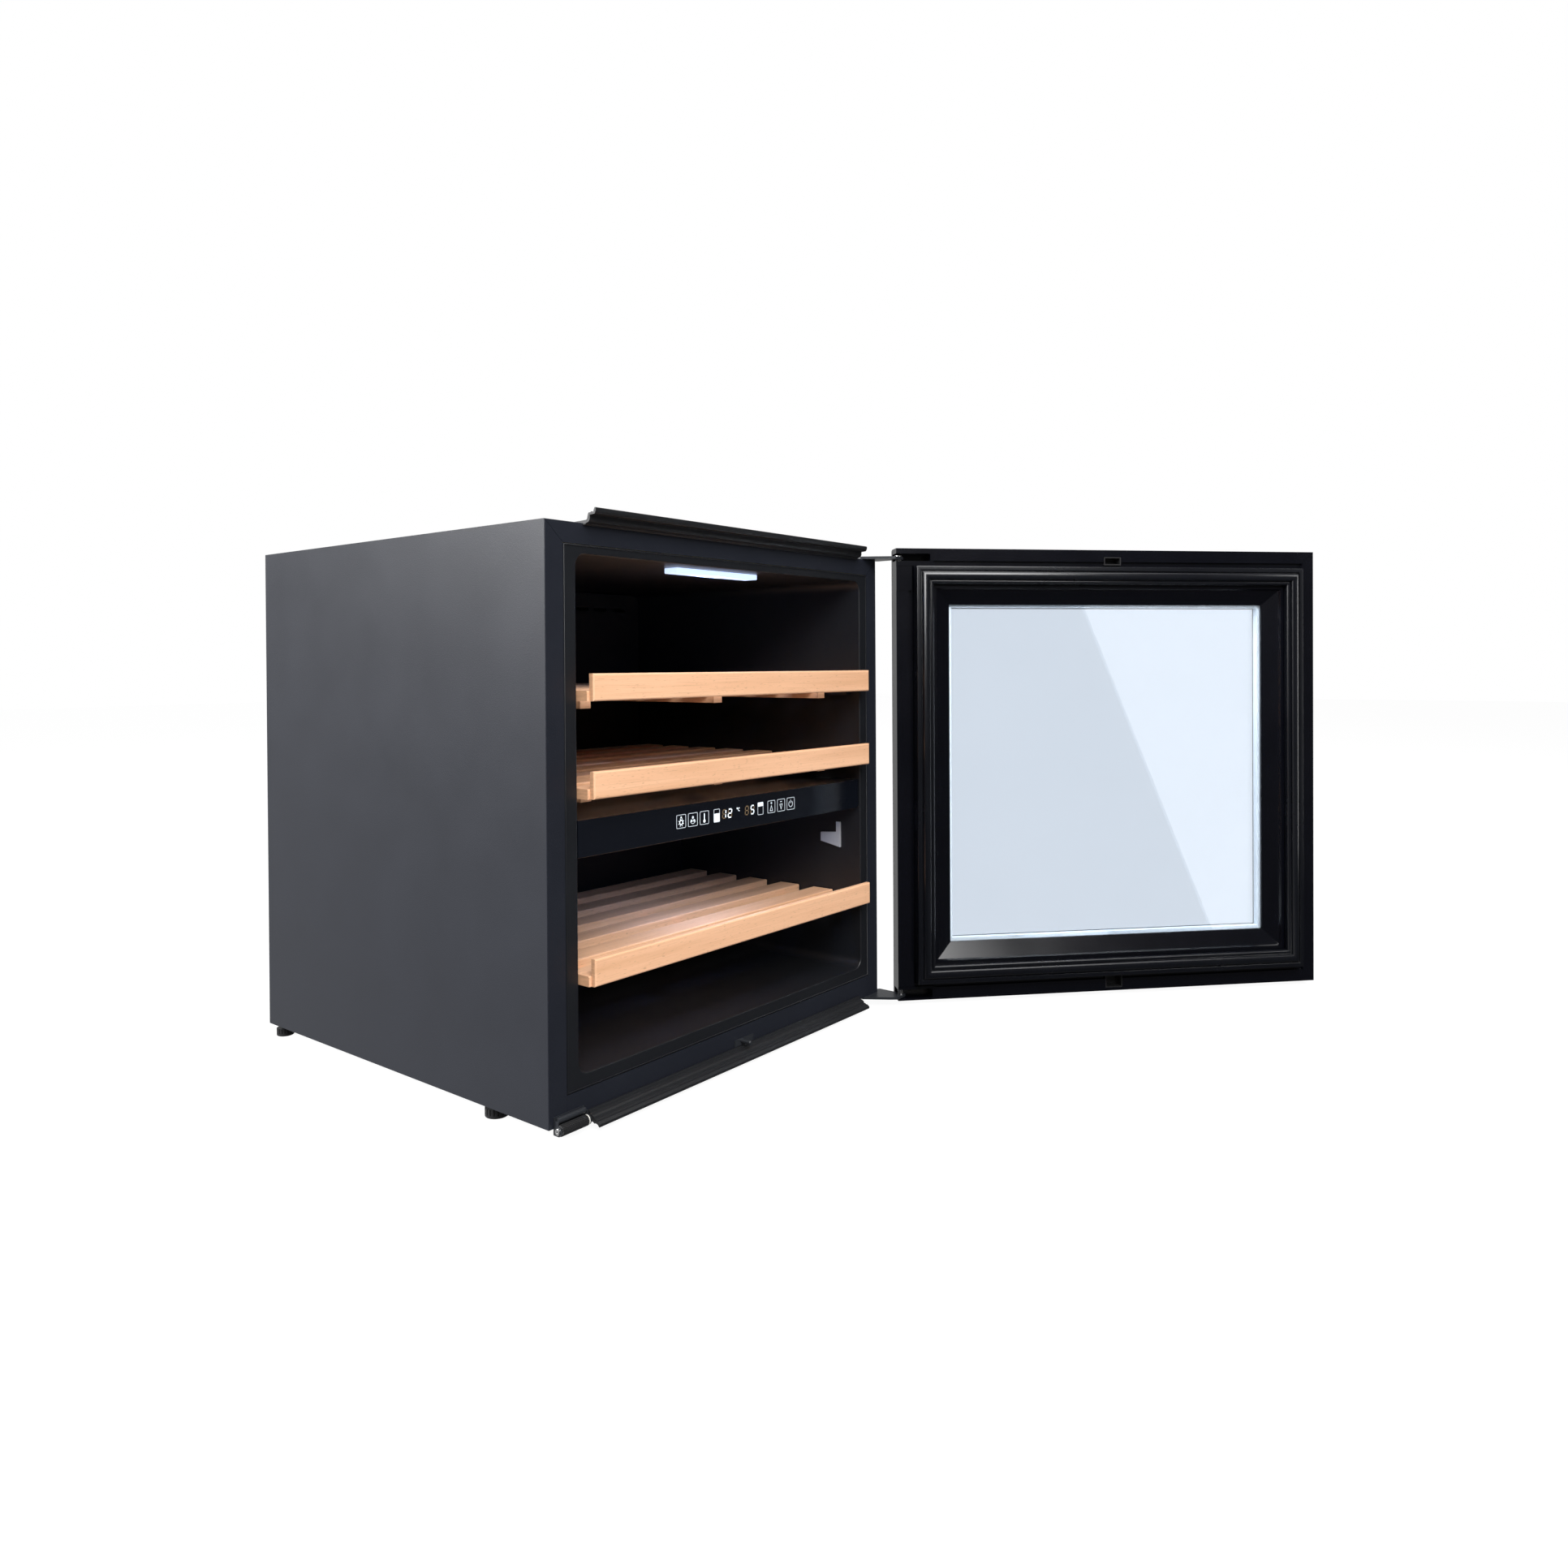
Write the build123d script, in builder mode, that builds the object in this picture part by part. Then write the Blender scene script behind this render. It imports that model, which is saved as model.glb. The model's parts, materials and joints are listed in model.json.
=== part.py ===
"""Built-in dual-zone wine cooler: steel cabinet, insulated liner, wooden shelves and a swinging glass door.

Frame: x = 0 in the middle of the cabinet, y = 0 on its front flange with +Y to the back, z = 0 on the floor.
The door is drawn closed and exported swung open by DOOR_REST about its hinge pins.
"""

from build123d import *
import os

os.makedirs("parts", exist_ok=True)

# ---- driving dimensions, millimetres and degrees ------------------------------------------------------
FOOT_HEIGHT = 14.0
BODY_WIDTH = 556.0
BODY_HEIGHT = 571.0
BODY_DEPTH = 520.0
SHEET = 1.0  # steel of the outer case
CASE_EDGE = 0.9  # folded front edges of the case
FLANGE_SIDE = 22.0  # front flange, beside, above and below the liner's rim
FLANGE_TOP = 20.6
FLANGE_BOTTOM = 26.2
MITRE_GAP = 0.2

LINER_WALL = 2.0
CAVITY_HALF = 240.0
CAVITY_LOW = 54.6
CAVITY_HIGH = 555.0
CAVITY_RADIUS = 12.0
UPPER_BACK = 440.0  # rear wall of the upper zone
LOWER_BACK = 345.0  # rear wall of the lower zone, in front of the machine room
MACHINE_FRONT = 372.0
MACHINE_ROOF = 229.0

DIVIDER_LOW = 262.5
DIVIDER_HIGH = 299.0
PANEL_FRONT = 1.7  # front of the control panel's glass
PANEL_THICKNESS = 3.0

DOOR_HALF = 295.0
DOOR_LOW = 7.2
DOOR_HIGH = 599.2
DOOR_INNER = -18.8  # inner face of the closed door's frame
DOOR_GLASS_BACK = -41.0
DOOR_FRONT = -45.0
DOOR_REST = 136.4
PIVOT_X = 289.0
PIVOT_Y = -29.3
PIN_RADIUS = 4.0
RUNNING_GAP = 0.06  # radial gap of every shaft in its bore

SHELF_FRONT = -18.0
FASCIA_HALF = 235.0
FASCIA_HEIGHT = 26.5
FASCIA_THICKNESS = 6.0
SLAT_THICKNESS = 10.0
SHELF_BOTTOMS = {"upper": 413.8, "middle": 320.0, "lower": 141.2}
SHELF_BACKS = {"upper": 386.0, "middle": 386.0, "lower": 299.0}

TRIM_HALF = 231.0

# ---- sizes that follow --------------------------------------------------------------------------------
HALF_WIDTH = BODY_WIDTH / 2
CASE_LOW = FOOT_HEIGHT
CASE_HIGH = FOOT_HEIGHT + BODY_HEIGHT
RIM_HALF = HALF_WIDTH - FLANGE_SIDE
RIM_LOW = CASE_LOW + FLANGE_BOTTOM
RIM_HIGH = CASE_HIGH - FLANGE_TOP
DOOR_MIDDLE = (DOOR_LOW + DOOR_HIGH) / 2
PIVOT = Axis((PIVOT_X, PIVOT_Y, 0), (0, 0, 1))


# ---- small helpers ------------------------------------------------------------------------------------
def block(x, y, z, mode=Mode.ADD):
    """A box between the given low and high x, y and z, added to the part being built."""
    middle = ((x[0] + x[1]) / 2, (y[0] + y[1]) / 2, (z[0] + z[1]) / 2)
    with Locations(middle):
        Box(abs(x[1] - x[0]), abs(y[1] - y[0]), abs(z[1] - z[0]), mode=mode)


def post(x, y, z, radius, mode=Mode.ADD):
    """An upright cylinder between the low and high z."""
    with Locations((x, y, (z[0] + z[1]) / 2)):
        Cylinder(radius, z[1] - z[0], mode=mode)


def front_plane(y):
    """A plane at y whose sketch axes are X and Z, and whose normal points out of the front."""
    return Plane.XZ.offset(-y)


def rear_facing(x, y, z):
    """A plane at a point whose normal points to the back."""
    return Plane(origin=(x, y, z), x_dir=(1, 0, 0), z_dir=(0, 1, 0))


def polygon(points):
    """A closed face from its corner points, in the sketch being built."""
    Polygon(*points, align=None)


def save(part, name):
    """Label a finished piece and write it to its own file."""
    part.label = name
    export_step(part, f"parts/{name}.step")


def save_on_door(part, name):
    """Swing a piece of the closed door to its open rest position and write it."""
    save(part.rotate(PIVOT, DOOR_REST), name)


# ---- outer case ---------------------------------------------------------------------------------------
def side_panel(side):
    """Painted side sheet with its front flange, mitred at the top to meet the top panel's."""
    outer = side * HALF_WIDTH
    inner = side * (HALF_WIDTH - SHEET)
    rim = side * RIM_HALF
    with BuildPart() as panel:
        block((inner, outer), (SHEET, BODY_DEPTH), (CASE_LOW, CASE_HIGH))
        with BuildSketch(front_plane(SHEET)):
            polygon(
                [
                    (outer, CASE_LOW),
                    (outer, CASE_HIGH - MITRE_GAP),
                    (rim, RIM_HIGH - MITRE_GAP),
                    (rim, CASE_LOW),
                ]
            )
        extrude(amount=SHEET)
        folded = panel.edges().filter_by(Axis.Z).filter_by(lambda edge: abs(edge.center().X - outer) < 0.1)
        fillet(folded.sort_by(Axis.Y)[0], CASE_EDGE)
    return panel.part


save(side_panel(-1), "left_side_panel")
save(side_panel(1), "right_side_panel")

with BuildPart() as top_panel:
    block((SHEET - HALF_WIDTH, HALF_WIDTH - SHEET), (SHEET, BODY_DEPTH), (CASE_HIGH - SHEET, CASE_HIGH))
    with BuildSketch(front_plane(SHEET)):
        polygon(
            [
                (MITRE_GAP - HALF_WIDTH, CASE_HIGH),
                (HALF_WIDTH - MITRE_GAP, CASE_HIGH),
                (RIM_HALF - MITRE_GAP, RIM_HIGH),
                (MITRE_GAP - RIM_HALF, RIM_HIGH),
            ]
        )
    extrude(amount=SHEET)
    folded = top_panel.edges().filter_by(Axis.X)
    folded = folded.filter_by(lambda edge: abs(edge.center().Z - CASE_HIGH) < 0.1)
    fillet(folded.sort_by(Axis.Y)[0], CASE_EDGE)
save(top_panel.part, "top_panel")

RAIL_LIP = 20.0
with BuildPart() as bottom_front_rail:
    block((MITRE_GAP - RIM_HALF, RIM_HALF - MITRE_GAP), (0, SHEET), (CASE_LOW, RIM_LOW))
    block((MITRE_GAP - RIM_HALF, RIM_HALF - MITRE_GAP), (SHEET, RAIL_LIP), (CASE_LOW, CASE_LOW + SHEET))
save(bottom_front_rail.part, "bottom_front_rail")

FRONT_FEET_Y = 98.0
FRONT_FEET_X = 262.0
REAR_FEET_Y = 505.0
REAR_FEET_X = 266.0
STEM_RADIUS = 4.0
STEM_HOLE = STEM_RADIUS + 0.4

with BuildPart() as base_panel:
    with BuildSketch(Plane.YZ.offset(SHEET - HALF_WIDTH)):
        polygon(
            [
                (RAIL_LIP, CASE_LOW),
                (MACHINE_FRONT, CASE_LOW),
                (MACHINE_FRONT, MACHINE_ROOF - SHEET),
                (BODY_DEPTH - SHEET, MACHINE_ROOF - SHEET),
                (BODY_DEPTH - SHEET, MACHINE_ROOF),
                (MACHINE_FRONT - SHEET, MACHINE_ROOF),
                (MACHINE_FRONT - SHEET, CASE_LOW + SHEET),
                (RAIL_LIP, CASE_LOW + SHEET),
            ]
        )
    extrude(amount=BODY_WIDTH - 2 * SHEET)
    for side in (-1, 1):
        post(side * FRONT_FEET_X, FRONT_FEET_Y, (0, 2 * CASE_LOW), STEM_HOLE, mode=Mode.SUBTRACT)
save(base_panel.part, "base_panel")

TRAY_THICKNESS = 1.5
COVER_THICKNESS = 1.2
with BuildPart() as compressor_tray:
    block(
        (SHEET - HALF_WIDTH, HALF_WIDTH - SHEET),
        (MACHINE_FRONT, BODY_DEPTH - COVER_THICKNESS),
        (CASE_LOW, CASE_LOW + TRAY_THICKNESS),
    )
    for side in (-1, 1):
        post(side * REAR_FEET_X, REAR_FEET_Y, (0, 2 * CASE_LOW), STEM_HOLE, mode=Mode.SUBTRACT)
save(compressor_tray.part, "compressor_tray")

with BuildPart() as back_panel:
    block(
        (SHEET - HALF_WIDTH, HALF_WIDTH - SHEET),
        (BODY_DEPTH - SHEET, BODY_DEPTH),
        (MACHINE_ROOF, CASE_HIGH - SHEET),
    )
save(back_panel.part, "back_panel")

GLAND_X = -225.0
GLAND_Z = 60.0
GLAND_RADIUS = 8.0
with BuildPart() as rear_service_cover:
    block(
        (SHEET - HALF_WIDTH, HALF_WIDTH - SHEET),
        (BODY_DEPTH - COVER_THICKNESS, BODY_DEPTH),
        (CASE_LOW, MACHINE_ROOF - SHEET),
    )
    with BuildSketch(front_plane(BODY_DEPTH)):
        with Locations((40, 85), (40, 165)):
            with GridLocations(18, 1, 20, 1):
                SlotOverall(64, 7, rotation=90)
        with Locations((GLAND_X, GLAND_Z)):
            Circle(GLAND_RADIUS)
    extrude(amount=COVER_THICKNESS, mode=Mode.SUBTRACT)
save(rear_service_cover.part, "rear_service_cover")

GLAND_BORE = 4.0
with BuildPart() as mains_inlet_gland:
    with BuildSketch(rear_facing(GLAND_X, BODY_DEPTH, GLAND_Z)):
        Circle(GLAND_RADIUS + 3)
    extrude(amount=2)
    fillet(mains_inlet_gland.edges().sort_by(Axis.Y)[-1], 1.2)
    with BuildSketch(rear_facing(GLAND_X, BODY_DEPTH - 8, GLAND_Z)):
        Circle(GLAND_RADIUS - 0.1)
    extrude(amount=8)
    with BuildSketch(rear_facing(GLAND_X, BODY_DEPTH - 8, GLAND_Z)):
        Circle(GLAND_BORE)
    extrude(amount=10, mode=Mode.SUBTRACT)
save(mains_inlet_gland.part, "mains_inlet_gland")


# ---- liner and insulation -----------------------------------------------------------------------------
def storage_space(grow, front):
    """The two storage zones as one solid, grown outwards on every wall and starting at the given front."""
    half = CAVITY_HALF + grow
    with BuildPart() as space:
        block((-half, half), (front, UPPER_BACK + grow), (DIVIDER_LOW - grow, CAVITY_HIGH + grow))
        block((-half, half), (front, LOWER_BACK + grow), (CAVITY_LOW - grow, DIVIDER_HIGH))
        step = DIVIDER_LOW - grow  # the roof of the lower zone's recess stays sharp
        corners = space.edges().filter_by(Axis.Y).filter_by(lambda edge: abs(edge.center().Z - step) > 1)
        fillet(corners, CAVITY_RADIUS + grow)
    return space.part


RIM_FRONT = 0.3
RIM_BACK = RIM_FRONT + LINER_WALL
RIM_GAP = 0.4
with BuildPart() as inner_liner:
    add(storage_space(LINER_WALL, RIM_FRONT))
    block(
        (RIM_GAP - RIM_HALF, RIM_HALF - RIM_GAP),
        (RIM_FRONT, RIM_BACK),
        (RIM_LOW + RIM_GAP, RIM_HIGH - RIM_GAP),
    )
    add(storage_space(0, -SHEET), mode=Mode.SUBTRACT)
    fillet(inner_liner.faces().sort_by(Axis.Y)[0].inner_wires()[0].edges(), 1.4)
save(inner_liner.part, "inner_liner")

FOOT_POCKET = 7.0
STEM_TOP = 32.0
with BuildPart() as foam_insulation:
    block(
        (SHEET - HALF_WIDTH, HALF_WIDTH - SHEET),
        (RIM_BACK + 0.1, BODY_DEPTH - SHEET),
        (CASE_LOW + SHEET, CASE_HIGH - SHEET),
    )
    block(
        (-HALF_WIDTH, HALF_WIDTH),
        (MACHINE_FRONT - SHEET, BODY_DEPTH),
        (0, MACHINE_ROOF),
        mode=Mode.SUBTRACT,
    )
    add(storage_space(LINER_WALL, 0), mode=Mode.SUBTRACT)
    for side in (-1, 1):
        post(side * FRONT_FEET_X, FRONT_FEET_Y, (0, STEM_TOP + 2), FOOT_POCKET, mode=Mode.SUBTRACT)
save(foam_insulation.part, "foam_insulation")

# ---- zone divider with the control panel and the lights -----------------------------------------------
DIVIDER_HALF = 238.0
BOARD_HALF = 96.0
BOARD_BACK = 10.0
DIVIDER_FRONT = PANEL_FRONT + PANEL_THICKNESS
LIGHT_HALF = 70.0
with BuildPart() as zone_divider:
    block((-DIVIDER_HALF, DIVIDER_HALF), (DIVIDER_FRONT, UPPER_BACK - 1), (DIVIDER_LOW, DIVIDER_HIGH))
    fillet(zone_divider.edges().filter_by(Axis.X).group_by(Axis.Y)[0], 1.0)
    block(
        (-BOARD_HALF, BOARD_HALF),
        (DIVIDER_FRONT, BOARD_BACK),
        (DIVIDER_LOW + 4, DIVIDER_HIGH - 4),
        mode=Mode.SUBTRACT,
    )
    block((-LIGHT_HALF, LIGHT_HALF), (30, 50), (DIVIDER_LOW, DIVIDER_LOW + 4), mode=Mode.SUBTRACT)
save(zone_divider.part, "zone_divider")

with BuildPart() as control_panel_glass:
    block((-DIVIDER_HALF, DIVIDER_HALF), (PANEL_FRONT, DIVIDER_FRONT), (DIVIDER_LOW, DIVIDER_HIGH))
    fillet(control_panel_glass.edges().group_by(Axis.Y)[0], 0.8)
save(control_panel_glass.part, "control_panel_glass")

with BuildPart() as control_display_board:
    block((1 - BOARD_HALF, BOARD_HALF - 1), (8, 9.6), (DIVIDER_LOW + 5, DIVIDER_HIGH - 5))
    for digits_x in (-22, 18):
        block((digits_x - 14, digits_x + 14), (DIVIDER_FRONT + 0.2, 8), (DIVIDER_LOW + 9, DIVIDER_HIGH - 9))
save(control_display_board.part, "control_display_board")

with BuildPart() as led_light_bars:
    block((1 - LIGHT_HALF, LIGHT_HALF - 1), (31, 49), (DIVIDER_LOW - 2, DIVIDER_LOW + 3.8))
    block((1 - LIGHT_HALF, LIGHT_HALF - 1), (31, 49), (CAVITY_HIGH - 6, CAVITY_HIGH - 0.1))
    fillet(led_light_bars.edges().filter_by(Axis.Y), 1.0)
save(led_light_bars.part, "led_light_bars")

with BuildPart() as sensor_bracket:
    with BuildSketch(Plane.YZ.offset(CAVITY_HALF - 3)):
        polygon([(31, 208), (62, 214), (62, 225.5), (37, 227.5), (37, 241), (31, 241)])
    extrude(amount=2.9)
save(sensor_bracket.part, "sensor_bracket")


# ---- air ducts, evaporators and fans ------------------------------------------------------------------
def duct_cover(front, back, low, high, outlet_rows, intake):
    """Shallow tray over an evaporator, with outlet slots and a round intake grille in front of its fan."""
    half = CAVITY_HALF - 1.5
    height = high - low
    wall = 2.5
    with BuildPart() as cover:
        with BuildSketch(front_plane(back)):
            with Locations((0, (low + high) / 2)):
                RectangleRounded(2 * half, height, CAVITY_RADIUS - 1)
        extrude(amount=back - front)
        with BuildSketch(front_plane(back)):
            with Locations((0, (low + high) / 2)):
                RectangleRounded(2 * half - 2 * wall, height - 2 * wall, CAVITY_RADIUS - 1 - wall)
        extrude(amount=back - front - wall, mode=Mode.SUBTRACT)
        with BuildSketch(front_plane(front + wall)):
            for row in outlet_rows:
                with Locations((0, row)):
                    with GridLocations(36, 1, 12, 1):
                        SlotOverall(26, 5)
            with Locations(intake):
                with GridLocations(1, 10, 1, 6):
                    SlotOverall(56, 5)
        extrude(amount=wall, mode=Mode.SUBTRACT)
    return cover.part


UPPER_COVER = 405.0
LOWER_COVER = 318.0
FAN_X = -130.0
UPPER_FAN_Z = 430.0
LOWER_FAN_Z = 160.0
upper_duct_cover = duct_cover(
    front=UPPER_COVER,
    back=UPPER_BACK - 0.5,
    low=DIVIDER_HIGH + 0.5,
    high=CAVITY_HIGH - 1.5,
    outlet_rows=(325, 530),
    intake=(FAN_X, UPPER_FAN_Z),
)
save(upper_duct_cover, "upper_duct_cover")
lower_duct_cover = duct_cover(
    front=LOWER_COVER,
    back=LOWER_BACK - 0.5,
    low=CAVITY_LOW + 1.5,
    high=DIVIDER_LOW - 1,
    outlet_rows=(78, 240),
    intake=(FAN_X, LOWER_FAN_Z),
)
save(lower_duct_cover, "lower_duct_cover")


def fan_frame(plane, size, depth, bore):
    """Square fan housing with its motor disc, four struts and the shaft that the rotor turns on."""
    hub = 0.36 * bore
    with BuildPart() as frame:
        with BuildSketch(plane):
            RectangleRounded(size, size, 5)
            Circle(bore, mode=Mode.SUBTRACT)
            with GridLocations(size - 10, size - 10, 2, 2):
                Circle(2.1, mode=Mode.SUBTRACT)
        extrude(amount=depth)
        with BuildSketch(plane):
            Circle(hub)
            with PolarLocations((hub + bore) / 2, 4):
                Rectangle(bore - hub + 3, 4)
        extrude(amount=2.5)
        with BuildSketch(plane):
            Circle(2.0)
        extrude(amount=depth - 3)
    return frame.part


def fan_rotor(plane, depth, bore, blades):
    """Hub with a blind bore for the shaft, and pitched blades that clear the housing."""
    hub = 0.36 * bore
    tip = bore - 2.0
    thickness = depth - 4.5
    blade = tip - hub + 1.5
    with BuildPart() as rotor:
        with BuildSketch(plane.offset(3.2)):
            Circle(hub)
        extrude(amount=thickness)
        fillet(rotor.faces().sort_by(Axis(plane.origin, plane.z_dir))[-1].edges(), 1.5)
        with Locations(plane.offset(3.2 + thickness / 2).location):
            with PolarLocations(tip - blade / 2, blades):
                Box(blade, 1.4, 0.95 * thickness, rotation=(38, 0, 0))
        with BuildSketch(plane.offset(3.2)):
            Circle(2.0 + RUNNING_GAP)
        extrude(amount=depth - 5.6, mode=Mode.SUBTRACT)
    return rotor.part


EVAPORATOR_FAN = {"size": 80.0, "depth": 18.0, "bore": 36.0}
upper_fan_plane = rear_facing(FAN_X, UPPER_COVER + 8, UPPER_FAN_Z)
lower_fan_plane = rear_facing(FAN_X, LOWER_COVER + 4, LOWER_FAN_Z)
with BuildPart() as evaporator_fan_frames:
    for plane in (upper_fan_plane, lower_fan_plane):
        add(fan_frame(plane, EVAPORATOR_FAN["size"], EVAPORATOR_FAN["depth"], EVAPORATOR_FAN["bore"]))
save(evaporator_fan_frames.part, "evaporator_fan_frames")
save(fan_rotor(upper_fan_plane, EVAPORATOR_FAN["depth"], EVAPORATOR_FAN["bore"], 7), "upper_fan_rotor")
save(fan_rotor(lower_fan_plane, EVAPORATOR_FAN["depth"], EVAPORATOR_FAN["bore"], 7), "lower_fan_rotor")


def finned_coil(plane, width, runs, pitch, fins, fin_depth):
    """Serpentine tube in the plane's own x and y directions, with flat fins across its runs."""
    tube = 3.0
    height = (runs - 1) * pitch
    corners = []
    for run in range(runs):
        level = run * pitch - height / 2
        ends = (-width / 2, width / 2) if run % 2 == 0 else (width / 2, -width / 2)
        corners += [(end, level) for end in ends]
    with BuildPart() as coil:
        with BuildLine(plane) as path:
            FilletPolyline(*corners, radius=0.49 * pitch)
        with BuildSketch(Plane(origin=path.line @ 0, z_dir=path.line % 0)):
            Circle(tube)
        sweep(path=path.line)
        with Locations(plane.location):
            with GridLocations((width - 3 * pitch) / (fins - 1), 1, fins, 1):
                Box(0.8, height + 12, fin_depth)
    return coil.part


EVAPORATOR_COIL = {"width": 270, "pitch": 24, "fins": 15, "fin_depth": 16}
with BuildPart() as evaporator_coils:
    for coil_y, coil_z, runs in ((UPPER_COVER + 17, UPPER_FAN_Z, 7), (LOWER_COVER + 14, LOWER_FAN_Z, 5)):
        add(finned_coil(rear_facing(70, coil_y, coil_z), runs=runs, **EVAPORATOR_COIL))
save(evaporator_coils.part, "evaporator_coils")

# ---- machine room -------------------------------------------------------------------------------------
TRAY_TOP = CASE_LOW + TRAY_THICKNESS
ROOM_MIDDLE = (MACHINE_FRONT + BODY_DEPTH) / 2
COMPRESSOR_X = -130.0
COMPRESSOR_FOOT = 9.0
COMPRESSOR_TOP = 160.0
with BuildPart() as compressor:
    with BuildSketch(Plane.XY.offset(TRAY_TOP + COMPRESSOR_FOOT)):
        with Locations((COMPRESSOR_X, ROOM_MIDDLE)):
            Ellipse(78, 57)
    extrude(amount=COMPRESSOR_TOP - TRAY_TOP - COMPRESSOR_FOOT)
    fillet(compressor.edges().group_by(Axis.Z)[-1], 40)
    with BuildSketch(Plane.XY.offset(92)):
        with Locations((COMPRESSOR_X, ROOM_MIDDLE)):
            Ellipse(81, 60)
    extrude(amount=3)
    with BuildSketch(Plane.XY.offset(TRAY_TOP + COMPRESSOR_FOOT)):
        with Locations((COMPRESSOR_X, ROOM_MIDDLE)):
            RectangleRounded(210, 112, 12)
    extrude(amount=3)
    with BuildSketch(Plane.XY.offset(TRAY_TOP)):
        with Locations((COMPRESSOR_X, ROOM_MIDDLE)):
            with GridLocations(180, 84, 2, 2):
                Circle(9)
    extrude(amount=COMPRESSOR_FOOT)
    block((COMPRESSOR_X + 60, COMPRESSOR_X + 96), (ROOM_MIDDLE - 20, ROOM_MIDDLE + 20), (52, 86))
save(compressor.part, "compressor")

with BuildPart() as drip_tray:
    block((-225, -35), (388, 504), (COMPRESSOR_TOP + 0.5, COMPRESSOR_TOP + 26))
    fillet(drip_tray.edges().filter_by(Axis.Z), 8)
    offset(amount=-2, openings=drip_tray.faces().sort_by(Axis.Z)[-1])
save(drip_tray.part, "drip_tray")

CONDENSER_FAN_X = 70.0
CONDENSER_X = 150.0
FAN_SIZE = 120.0
condenser_plane = Plane(origin=(CONDENSER_FAN_X, ROOM_MIDDLE, 90), x_dir=(0, 1, 0), z_dir=(1, 0, 0))
save(fan_frame(condenser_plane, FAN_SIZE, 25, 57), "condenser_fan_frame")
save(fan_rotor(condenser_plane, 25, 57, 7), "condenser_fan_rotor")
coil_plane = Plane(origin=(CONDENSER_X, ROOM_MIDDLE, 90), x_dir=(0, 1, 0), z_dir=(1, 0, 0))
condenser_coil = finned_coil(coil_plane, width=116, runs=7, pitch=20, fins=9, fin_depth=50)
save(condenser_coil, "condenser_coil")

PIPE_RADIUS = 3.0
DRYER_RADIUS = 10.0
with BuildPart() as refrigerant_pipes:
    with BuildLine() as pipe_path:
        FilletPolyline(
            (COMPRESSOR_X + 97, ROOM_MIDDLE - 40, 120),
            (0, ROOM_MIDDLE - 40, 120),
            (0, ROOM_MIDDLE - 40, 180),
            (60, ROOM_MIDDLE - 40, 205),
            (240, ROOM_MIDDLE - 40, 205),
            (240, ROOM_MIDDLE - 40, 60),
            radius=16,
        )
    with BuildSketch(Plane(origin=pipe_path.line @ 0, z_dir=pipe_path.line % 0)):
        Circle(PIPE_RADIUS)
    sweep(path=pipe_path.line)
    post(240, ROOM_MIDDLE - 40, (70, 150), DRYER_RADIUS)
    round_edges = refrigerant_pipes.edges().filter_by(GeomType.CIRCLE)
    fillet(round_edges.filter_by(lambda edge: abs(edge.radius - DRYER_RADIUS) < 0.1), 5)
save(refrigerant_pipes.part, "refrigerant_pipes")

with BuildPart() as power_board_box:
    block((-268, -236), (400, 480), (40, 160))
    fillet(power_board_box.edges().filter_by(Axis.X), 4)
    chamfer(power_board_box.faces().sort_by(Axis.X)[-1].edges(), 2)
save(power_board_box.part, "power_board_box")

# ---- front trim strips --------------------------------------------------------------------------------
# each outline runs around the moulding's section as (y, z), from the leg that lies on the case
TOP_TRIM = [
    (15, CASE_HIGH),
    (15, CASE_HIGH + 1.8),
    (-6, CASE_HIGH + 2.6),
    (-7.6, CASE_HIGH + 4.8),
    (-7.6, CASE_HIGH + 9.4),
    (-15.2, CASE_HIGH + 9.8),
    (-16.6, CASE_HIGH + 13.2),
    (-18.2, CASE_HIGH + 13.2),
    (-18.2, CASE_HIGH + 10.0),
    (-16.2, CASE_HIGH + 7.4),
    (-9.8, CASE_HIGH + 7.0),
    (-9.8, CASE_HIGH + 3.2),
    (-8.4, CASE_HIGH + 0.4),
    (-3.0, CASE_HIGH - 0.6),
    (-2.4, CASE_HIGH - 2.0),
    (0, CASE_HIGH - 2.0),
    (0, CASE_HIGH),
]
BOTTOM_TRIM = [
    (15, CASE_LOW),
    (15, CASE_LOW - 1.8),
    (-1, CASE_LOW - 1.8),
    (-5.4, CASE_LOW - 4.6),
    (-15.0, CASE_LOW - 5.8),
    (-16.4, CASE_LOW - 7.4),
    (-18.2, CASE_LOW - 7.4),
    (-18.2, CASE_LOW - 5.0),
    (-15.4, CASE_LOW - 3.0),
    (-10.6, CASE_LOW - 2.2),
    (-9.6, CASE_LOW + 0.2),
    (-7.6, CASE_LOW + 1.6),
    (-4.2, CASE_LOW + 2.4),
    (-3.4, CASE_LOW + 5.2),
    (0, CASE_LOW + 5.2),
    (0, CASE_LOW),
]


def trim_strip(outline):
    """Stepped black moulding across the front of the case."""
    with BuildPart() as strip:
        with BuildSketch(Plane.YZ.offset(-TRIM_HALF)):
            polygon(outline)
        extrude(amount=2 * TRIM_HALF)
    return strip.part


save(trim_strip(TOP_TRIM), "top_trim_strip")
save(trim_strip(BOTTOM_TRIM), "bottom_trim_strip")

# ---- hinges -------------------------------------------------------------------------------------------
PLATE = 3.2
EYE_RADIUS = 6.0
PLATE_LEFT = 246.0
PLATE_RIGHT = 291.0
SCREW_SPOTS = [(256, 22), (268, 22), (256, 50), (268, 50)]
SCREW_RADIUS = 2.5


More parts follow.
